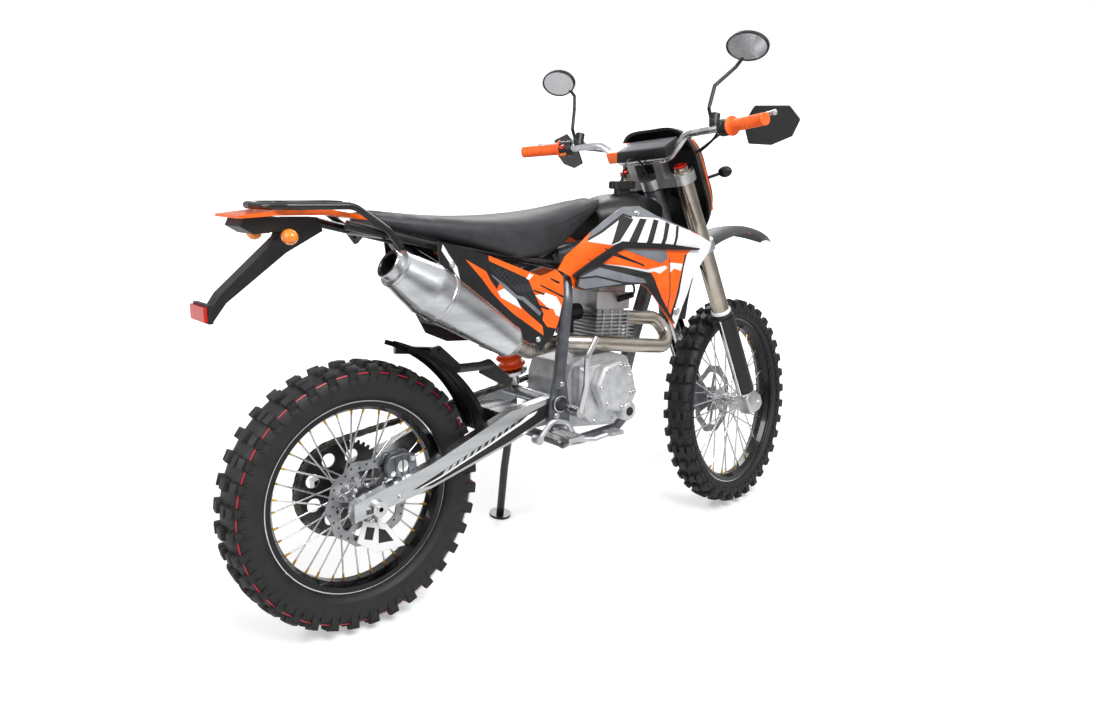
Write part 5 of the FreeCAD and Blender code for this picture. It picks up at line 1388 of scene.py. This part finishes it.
def makeFloor():
    bm = bmesh.new()
    bmesh.ops.create_grid(bm, x_segments=1, y_segments=1, size=studio["floorHalf"])
    mesh = bpy.data.meshes.new("floor")
    bm.to_mesh(mesh)
    bm.free()
    floor = bpy.data.objects.new("floor", mesh)
    bpy.context.scene.collection.objects.link(floor)
    material, tree, shader = newMaterial("paleFloor", "#e6e6e6", 0.0, 0.75)
    # the camera sees the floor as white paper, brighter far off, and its shadow stays
    camera = addNode(tree, "ShaderNodeLightPath").outputs["Is Camera Ray"]
    away = addNode(tree, "ShaderNodeVectorMath", {"operation": "LENGTH"}, {0: objectPoint(tree)})
    far = mapped(tree, away.outputs["Value"], studio["glowFrom"], studio["glowTo"], studio["nearGlow"])
    seen = addNode(tree, "ShaderNodeMath", {"operation": "MULTIPLY"}, {0: far, 1: camera})
    glow = addNode(tree, "ShaderNodeEmission", {"Color": (1, 1, 1, 1)}, {"Strength": seen.outputs[0]})
    both = addNode(tree, "ShaderNodeAddShader", None, {0: shader.outputs[0], 1: glow.outputs[0]})
    tree.links.new(both.outputs[0], tree.nodes["Material Output"].inputs["Surface"])
    mesh.materials.append(material)


def makeSurround():
    world = bpy.data.worlds.new("surround")
    bpy.context.scene.world = world
    world.use_nodes = True
    tree = world.node_tree
    path = addNode(tree, "ShaderNodeLightPath").outputs
    # polished metal mirrors a room that darkens toward the horizon
    around = addNode(tree, "ShaderNodeTexCoord").outputs["Generated"]
    height = addNode(tree, "ShaderNodeSeparateXYZ", None, {"Vector": around}).outputs["Z"]
    room = mapped(tree, height, -0.05, 0.6, studio["horizonLight"])
    mirrored = addNode(tree, "ShaderNodeMix", {"A": studio["surroundLight"]},
                       {"Factor": path["Is Glossy Ray"], "B": room}).outputs["Result"]
    seen = addNode(tree, "ShaderNodeMath", {"operation": "MAXIMUM"},
                   {0: path["Is Camera Ray"], 1: path["Is Transmission Ray"]}).outputs[0]
    strength = addNode(tree, "ShaderNodeMix", {"B": 1.0}, {"Factor": seen, "A": mirrored}).outputs["Result"]
    background = tree.nodes["Background"]
    background.inputs["Color"].default_value = (1, 1, 1, 1)
    tree.links.new(strength, background.inputs["Strength"])


def addLamp(name, spot, aim, watts, size):
    lamp = bpy.data.lights.new(name, "AREA")
    lamp.energy = watts
    lamp.shape = "RECTANGLE"
    lamp.size, lamp.size_y = size
    holder = bpy.data.objects.new(name, lamp)
    holder.location = spot
    holder.rotation_euler = (Vector(aim) - Vector(spot)).to_track_quat("-Z", "Y").to_euler()
    bpy.context.scene.collection.objects.link(holder)


makeFloor()
makeSurround()
for name, values in studio["lamps"].items():
    addLamp(name, *values)

# Camera: behind the bike on its right, posed in the upright bike's frame as the photograph shows it.
cameraPose = {"azimuth": -39.411, "elevation": 11.923, "roll": 0.137, "distance": 2591.0,
              "aim": (639.0, 26.7, 577.2), "focalPixels": 901.0, "imageWidth": 1096, "sensorMm": 36.0}


def makeCamera():
    azimuth, elevation, roll = (math.radians(cameraPose[key]) for key in ("azimuth", "elevation", "roll"))
    back = Vector((math.sin(azimuth) * math.cos(elevation), -math.cos(azimuth) * math.cos(elevation),
                   math.sin(elevation)))
    right = Vector((math.cos(azimuth), math.sin(azimuth), 0))
    upward = back.cross(right)
    axes = (right * math.cos(roll) + upward * math.sin(roll),
            upward * math.cos(roll) - right * math.sin(roll), back)
    spot = Vector(cameraPose["aim"]) + back * cameraPose["distance"]
    turn = places["chassis"].to_3x3().normalized()
    data = bpy.data.cameras.new("photoCamera")
    data.sensor_width = cameraPose["sensorMm"]
    data.lens = cameraPose["sensorMm"] * cameraPose["focalPixels"] / cameraPose["imageWidth"]
    camera = bpy.data.objects.new("photoCamera", data)
    posed = Matrix([turn @ axis for axis in axes]).transposed().to_4x4()
    camera.matrix_world = Matrix.Translation(places["chassis"] @ spot) @ posed
    bpy.context.scene.collection.objects.link(camera)
    bpy.context.scene.camera = camera


makeCamera()
bpy.context.scene.view_settings.view_transform = "Standard"
